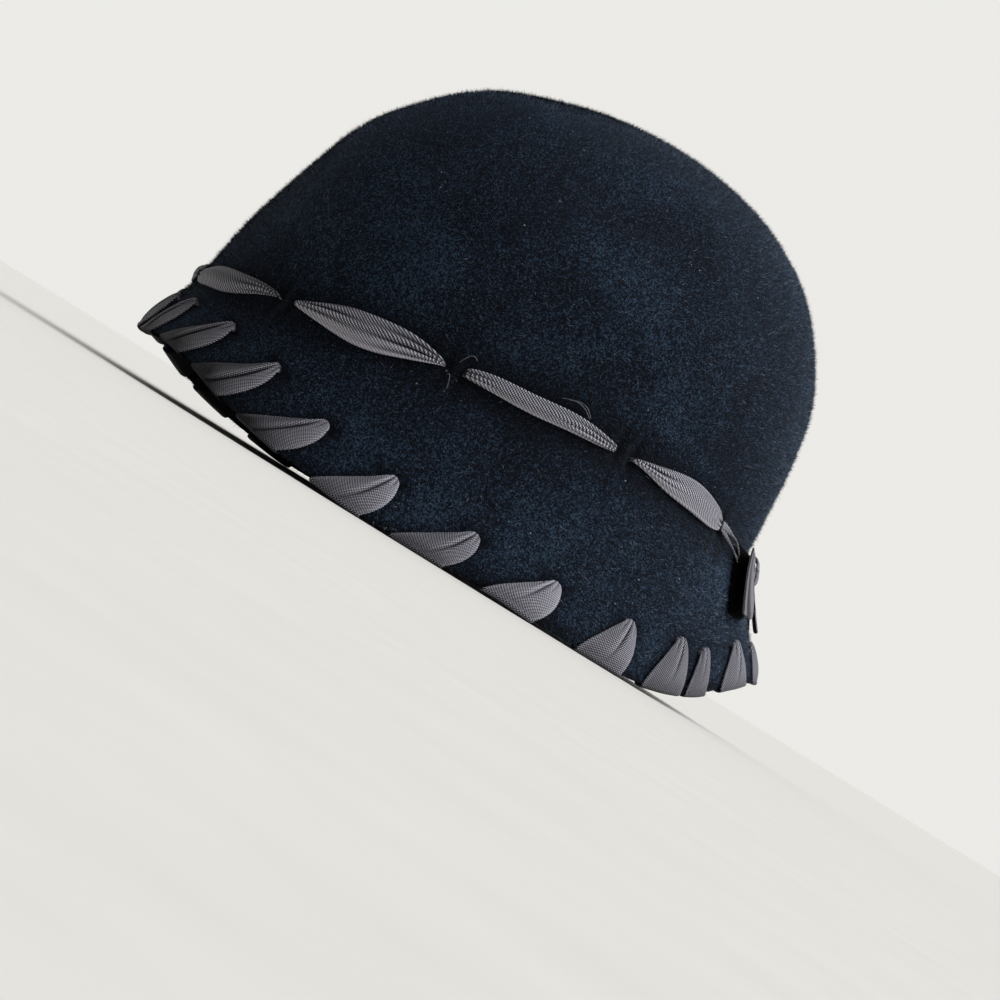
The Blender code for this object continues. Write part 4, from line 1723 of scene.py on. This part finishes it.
@dataclass
class Bow:
    """The flat bow at the left of the back: two loops and the band round their waist."""

    form: HatForm
    lacing: Lacing
    strip: RibbonStrip
    side: float = 0.0300
    length: float = 0.0475
    width: float = 0.0240
    waist: float = 0.0080
    drop: float = 0.0040
    droop: float = 0.0085
    puff: float = 0.0031
    clearance: float = 0.0004
    knot_length: float = 0.0090
    knot_bulge: float = 0.0006
    tuck: float = 0.75
    open_at: float = 0.75
    reach_mm: float = 25.0
    pleat: float = 0.0003
    crease_depth: float = 0.0004
    lean: float = 0.0012
    across: int = 31
    knot_across: int = 17
    knot_rows: int = 48

    @property
    def gap(self) -> float:
        """Distance between the middles of two layers of ribbon."""
        return self.lacing.ribbon_thickness + self.clearance

    @property
    def centre(self) -> float:
        """Where the waist lies along the head line."""
        return self.form.head_total / 2.0 - self.side

    def loop_path(self) -> tuple[np.ndarray, np.ndarray, np.ndarray, np.ndarray]:
        """Return how the ring of both loops runs, seen from its edge.

        Each loop goes out, turns its end in between its two layers, and comes back.

        Returns:
            Reach from the waist, offset from the felt, opening and painted shade.
        """
        near = self.lacing.offset + self.gap
        waist = 1.2 * self.knot_length / self.length
        share = np.linspace(0.0, 1.0, 34)
        swell = np.sin(np.pi / 2.0 * np.clip((share - waist) / (self.open_at - waist), 0.0, 1.0))
        top = near + self.gap + self.puff * share**1.5
        low = near - self.gap * swell
        inward = np.linspace(0.0, 1.0, 14)[1:-1]
        fold_reach = 1.0 - self.tuck * np.sin(np.pi / 2.0 * inward)
        over, under, width = (np.interp(fold_reach, share, row) for row in (top, low, swell))
        middle = (over + under) / 2.0
        into = over + (middle + self.pleat - over) * inward**0.8
        back = under + (middle - self.pleat - under) * inward**0.8
        tucked = width * (1.0 - 0.05 * inward)
        # Painted shade: a dark band near the fold end stands for the gap between the layers, and
        # the tucked end and felt-side layer are fully dark.
        crease = bell(share, 0.80, 0.075)
        face = 0.38 - 0.10 * bell(share, 1.0, 0.05) + 0.9 * crease
        dark = np.ones_like(inward)
        rows = ((share, fold_reach, fold_reach, share),
                (top - self.crease_depth * crease, into, back, low),
                (swell, tucked, tucked, swell),
                (face, dark, dark, np.ones_like(share)))
        reach, offset, opened, shade = (
            np.concatenate([a, b, c[::-1], d[::-1]]) for a, b, c, d in rows)
        return tuple(np.concatenate([far[:-1], near_side[::-1][:-1]]) for far, near_side in (
            (reach, -reach), (offset, offset), (opened, opened), (shade, shade)))

    def build_loops(self, material: bpy.types.Material,
                    shaded_finish: bpy.types.Material) -> bpy.types.Object:
        """Make both loops as one flattened ring, its ends tucked in.

        Args:
            material: The ribbon finish.
            shaded_finish: The near-black finish painted on faces that lie in deep shade.

        Returns:
            The loops, standing for their solid.
        """
        reach, offset, opened, shade = (row[:, None] for row in self.loop_path())
        v = np.linspace(-1.0, 1.0, self.across)[None, :]
        width = self.waist + (self.width - self.waist) * opened
        gather = bell(np.abs(reach), 0.2, 0.22) * np.clip(opened * 3.0, 0.0, 1.0)
        fold = np.cos(np.pi * 2.5 * v + 0.5)
        offset = offset + self.pleat * (fold * gather + v * v * opened)
        lift = -(self.drop + self.droop * opened) + v * width / 2.0
        length = self.centre + reach * self.length / 2.0
        length = length - self.lean * v * np.sign(reach) * (np.abs(reach) > 0.8)
        points = self.form.by_head(length, lift, offset)
        # Painted shade in the gathers' valleys and a painted highlight along the edges.
        marks = shade + 0.5 * gather * (0.5 - 0.5 * fold) - 0.25 * (np.abs(v) > 0.93)
        steps = np.abs(np.diff(reach, axis=0, prepend=reach[:1]))
        run = np.cumsum(steps, axis=0) * self.reach_mm
        piece = self.strip.sheet("bow_both_loops", points, marks, chart(run, v * width * 500.0),
                                 material)
        piece.data.materials.append(shaded_finish)
        # Faces in full painted shade get the near-black finish.
        painted_shade_faces = (shade[:, 0] == 1.0) & (np.roll(shade[:, 0], -1) == 1.0)
        piece.data.polygons.foreach_set("material_index",
                                        np.repeat(painted_shade_faces.astype(np.int32), self.across * 2))
        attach(piece, BODY)
        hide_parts("bow_loops")
        return piece

    def build_knot(self, material: bpy.types.Material) -> bpy.types.Object:
        """Make the band round the waist, rounded and lightly pleated.

        Args:
            material: The ribbon finish.

        Returns:
            The band, standing for its solid.
        """
        angle = np.linspace(0.0, 2.0 * np.pi, self.knot_rows, endpoint=False)[:, None]
        v = np.linspace(-1.0, 1.0, self.knot_across)[None, :]
        pleats = np.cos(np.pi * 3.0 * v)

        def squared(share: np.ndarray) -> np.ndarray:
            """Return a wave with flatter tops, for a band that lies flat."""
            return np.sign(share) * np.abs(share) ** 0.6

        front = np.clip(np.cos(angle), 0.0, 1.0)
        lift = -self.drop + (self.waist / 2.0 + self.gap) * squared(np.sin(angle))
        offset = self.lacing.offset + 1.5 * self.gap * (1.0 + squared(np.cos(angle)))
        offset = offset + (self.knot_bulge + self.pleat * pleats) * front
        length = self.centre + v * self.knot_length / 2.0 * (1.0 - 0.12 * front)
        points = self.form.by_head(length, lift, offset)
        # Painted shade and highlight across the band's pleats.
        marks = np.broadcast_to(0.25 - 0.35 * pleats, points.shape[:2])
        piece = self.strip.sheet("bow_waist_band", points, marks, chart(angle * 3.0, v * 5.0),
                                 material)
        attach(piece, BODY)
        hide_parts("bow_knot")
        return piece


@dataclass
class TwistedStrands:
    """The ribbon twisted to two thin strands where it runs in under the bow.

    Lines are rows of a strand's lift, its fall, its sideways bow and how far it
    stands off midway, in metres.
    """

    form: HatForm
    lacing: Lacing
    strip: RibbonStrip
    start: float = 0.772
    end: float = 0.832
    width: float = 0.0021
    twists: float = 0.9
    stand_off: float = 0.0009
    lines: tuple = ((0.0004, 0.0052, 0.0009, 0.0011), (-0.0006, 0.0058, -0.0014, 0.0007))

    def build(self, material: bpy.types.Material) -> bpy.types.Object:
        """Make both strands as one ring of narrow twisted ribbon.

        Args:
            material: The ribbon finish.

        Returns:
            The strands.
        """
        half = self.form.head_total / 2.0
        t = np.linspace(0.0, 1.0, 40)
        there, back = (
            np.stack([self.start + (self.end - self.start) * t,
                      lift - fall * t + bow * np.sin(np.pi * t),
                      self.stand_off + stand * np.sin(np.pi * t)], -1)
            for lift, fall, bow, stand in self.lines)
        line = np.concatenate([there, back[::-1]])
        spin = (np.concatenate([t, t[::-1]]) * self.twists * np.pi)[:, None]
        v = np.linspace(-1.0, 1.0, 9)[None, :]
        reach = v * self.width / 2.0
        length = line[:, 0:1] * half
        lift = line[:, 1:2] + reach * np.cos(spin)
        offset = line[:, 2:3] + np.abs(reach) * np.sin(spin) * 0.6
        points = self.form.by_head(length, lift, offset)
        # Painted shade where the twist turns the strand, lighter toward one edge.
        marks = 0.10 + 0.45 * np.sin(spin) ** 2 - 0.35 * v
        piece = self.strip.sheet("twisted_strands", points, marks,
                                 chart(length * 1000.0, v * 2.0), material)
        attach(piece, BODY)
        return piece


@dataclass
class LooseThreads:
    """A few pulled threads that stand out by the ribbon.

    Places are rows of where a thread starts along the head line, its lift, its
    size and how far it stands off, in metres, and its lean in radians.
    """

    form: HatForm
    radius: float = 0.00011
    sides: int = 4
    off_felt: float = 0.0008
    curl: float = 0.0020
    places: tuple = (
        (0.1525, 0.0052, 0.012, 0.0016, -0.25), (0.1550, 0.0058, 0.010, 0.0012, -0.35),
        (0.1185, -0.0030, 0.008, 0.0012, -1.3), (0.1200, 0.0020, 0.006, 0.0014, 0.7),
    )

    def tube(self, line: np.ndarray) -> np.ndarray:
        """Return the points of a thin tube along a line.

        Args:
            line: Points along the thread.

        Returns:
            Points, one ring after another.
        """
        along = unit(np.gradient(line, axis=0))
        side = unit(np.cross(along, np.array([0.3, 0.2, 1.0])))
        other = np.cross(along, side)
        taper = np.full((len(line), 1), self.radius)
        taper[0] = taper[-1] = 0.2 * self.radius
        turns = 2.0 * np.pi * np.arange(self.sides) / self.sides
        rings = [line + (side * math.cos(a) + other * math.sin(a)) * taper for a in turns]
        return np.stack(rings, 1).reshape(-1, 3)

    def build(self, material: bpy.types.Material) -> bpy.types.Object:
        """Make the threads.

        Args:
            material: The thread finish.

        Returns:
            One object that holds all the threads.
        """
        points, faces, start = [], [], 0
        t = np.linspace(0.0, 1.0, 24)
        for begin, lift, size, stand, lean in self.places:
            length = begin + size * t * math.cos(lean)
            rise = lift + size * t * math.sin(lean) * 0.6 + self.curl * np.sin(np.pi * t)
            offset = self.off_felt + stand * np.sin(np.pi * t)
            points.append(self.tube(self.form.by_head(length, rise, offset)))
            faces += grid_faces(len(t), self.sides, start).tolist()
            start += len(points[-1])
        piece = make_piece("pulled_threads", np.concatenate(points), faces, material)
        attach(piece, BODY)
        return piece


@dataclass
class PhotoCamera:
    """A camera low beside the hat, rolled as the photograph shows it."""

    azimuth_deg: float = 79.0
    distance: float = 1.11
    height: float = 0.0112
    aim_height: float = 0.0812
    roll_deg: float = 31.7
    lens_mm: float = 120.0
    sensor_mm: float = 36.0
    aim_right: float = 0.047
    aim_up: float = 0.156

    def build(self) -> bpy.types.Object:
        """Make the camera and set it as the scene's.

        Returns:
            The camera.
        """
        turn = math.radians(self.azimuth_deg)
        lean = -math.asin((self.aim_height - self.height) / self.distance)
        back = Vector((math.sin(turn) * math.cos(lean), -math.cos(turn) * math.cos(lean),
                       math.sin(lean)))
        right = Vector((math.cos(turn), math.sin(turn), 0.0))
        up = back.cross(right)
        roll = math.radians(self.roll_deg)
        rolled_right = right * math.cos(roll) + up * math.sin(roll)
        rolled_up = up * math.cos(roll) - right * math.sin(roll)
        place = Vector((0.0, 0.0, self.aim_height)) + back * self.distance
        frame_share = self.sensor_mm / self.lens_mm
        look = back + rolled_right * self.aim_right * frame_share
        look = (look + rolled_up * self.aim_up * frame_share).normalized()
        side = rolled_up.cross(look).normalized()
        top = look.cross(side)
        data = bpy.data.cameras.new("photo_camera")
        data.lens = self.lens_mm
        data.sensor_width = self.sensor_mm
        data.clip_start = 0.01
        data.clip_end = 30.0
        camera = bpy.data.objects.new("photo_camera", data)
        spin = Matrix((side, top, look)).transposed().to_4x4()
        camera.matrix_world = Matrix.Translation(place) @ spin
        bpy.context.scene.collection.objects.link(camera)
        bpy.context.scene.camera = camera
        return camera


@dataclass
class Studio:
    """Pale floor, soft window light from behind the hat's right, and a pale room."""

    floor_half: float = 6.0
    room: str = "f1f0ec"
    dim_side: str = "46464b"
    room_strength: float = 0.95
    pale_wall_way: tuple = (-0.66, 0.60, 0.45)
    window_strength: float = 3.6
    window_spread_deg: float = 48.0
    window_way: tuple = (0.85, 1.55, 2.0)
    window_colour: str = "f4f7ff"

    def window(self) -> None:
        """Add the soft window light as a wide even source."""
        data = bpy.data.lights.new("window", "SUN")
        data.energy = self.window_strength
        data.angle = math.radians(self.window_spread_deg)
        data.color = hex_linear(self.window_colour)[:3]
        lamp = bpy.data.objects.new("window", data)
        lamp.matrix_world = Vector(self.window_way).to_track_quat("Z", "Y").to_matrix().to_4x4()
        bpy.context.scene.collection.objects.link(lamp)

    def build(self, floor_finish: bpy.types.Material) -> None:
        """Make the floor, the room's light and the window.

        Args:
            floor_finish: The floor's material.
        """
        half = self.floor_half
        corners = np.array([(-half, -half, 0.0), (half, -half, 0.0),
                            (half, half, 0.0), (-half, half, 0.0)])
        floor = make_piece("floor", corners, [(0, 1, 2, 3)], floor_finish, False)
        world = bpy.data.worlds.new("pale_room")
        world.use_nodes = True
        tree = world.node_tree
        way = add_node(tree, "TexCoord").outputs["Generated"]
        facing = add_node(tree, "VectorMath", {0: way, 1: self.pale_wall_way},
                          operation="DOT_PRODUCT")
        share = add_node(tree, "MapRange", {
            "Value": facing.outputs["Value"], "From Min": -0.10, "From Max": 0.55})
        colour = add_node(tree, "MixRGB", {
            "Fac": share.outputs[0], "Color1": hex_linear(self.dim_side),
            "Color2": hex_linear(self.room)})
        shown = tree.nodes["Background"]
        tree.links.new(colour.outputs["Color"], shown.inputs["Color"])
        shown.inputs["Strength"].default_value = self.room_strength
        bpy.context.scene.world = world
        self.window()
        bpy.context.scene.view_settings.view_transform = "Standard"


def main() -> None:
    """Build the studio, then each part of the hat."""
    logging.basicConfig(level=logging.INFO, format="%(name)s: %(message)s")
    form = HatForm()
    lacing = Lacing(form)
    strip = RibbonStrip(lacing.ribbon_thickness)
    PhotoCamera().build()
    Studio().build(PaleFloor().build())
    felt_finish = VelourFelt().build()
    ribbon_finish = RibbedRibbon().build()
    body = FeltBody(form, lacing)
    fibre_finish = NapFibre().build()
    painted_shade_finish = PaintedShadeRibbon().build()
    nap = FeltNap(body)
    bow = Bow(form, lacing, strip)
    pieces = [
        body.build(felt_finish),
        nap.build("felt_nap_short", fibre_finish, 0.8, 21),
        nap.build("felt_nap_long", fibre_finish, 1.15, 22),
        CrownRibbon(form, lacing, strip).build(ribbon_finish),
        BrimRibbon(form, lacing, strip).build(ribbon_finish),
        TwistedStrands(form, lacing, RibbonStrip(0.0004)).build(ribbon_finish),
        LooseThreads(form).build(LooseThread().build()),
        bow.build_loops(ribbon_finish, painted_shade_finish),
        bow.build_knot(ribbon_finish),
    ]
    for piece in pieces:
        LOG.info("%s: %d faces", piece.name, len(piece.data.polygons))
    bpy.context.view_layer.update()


if __name__ == "__main__":
    main()
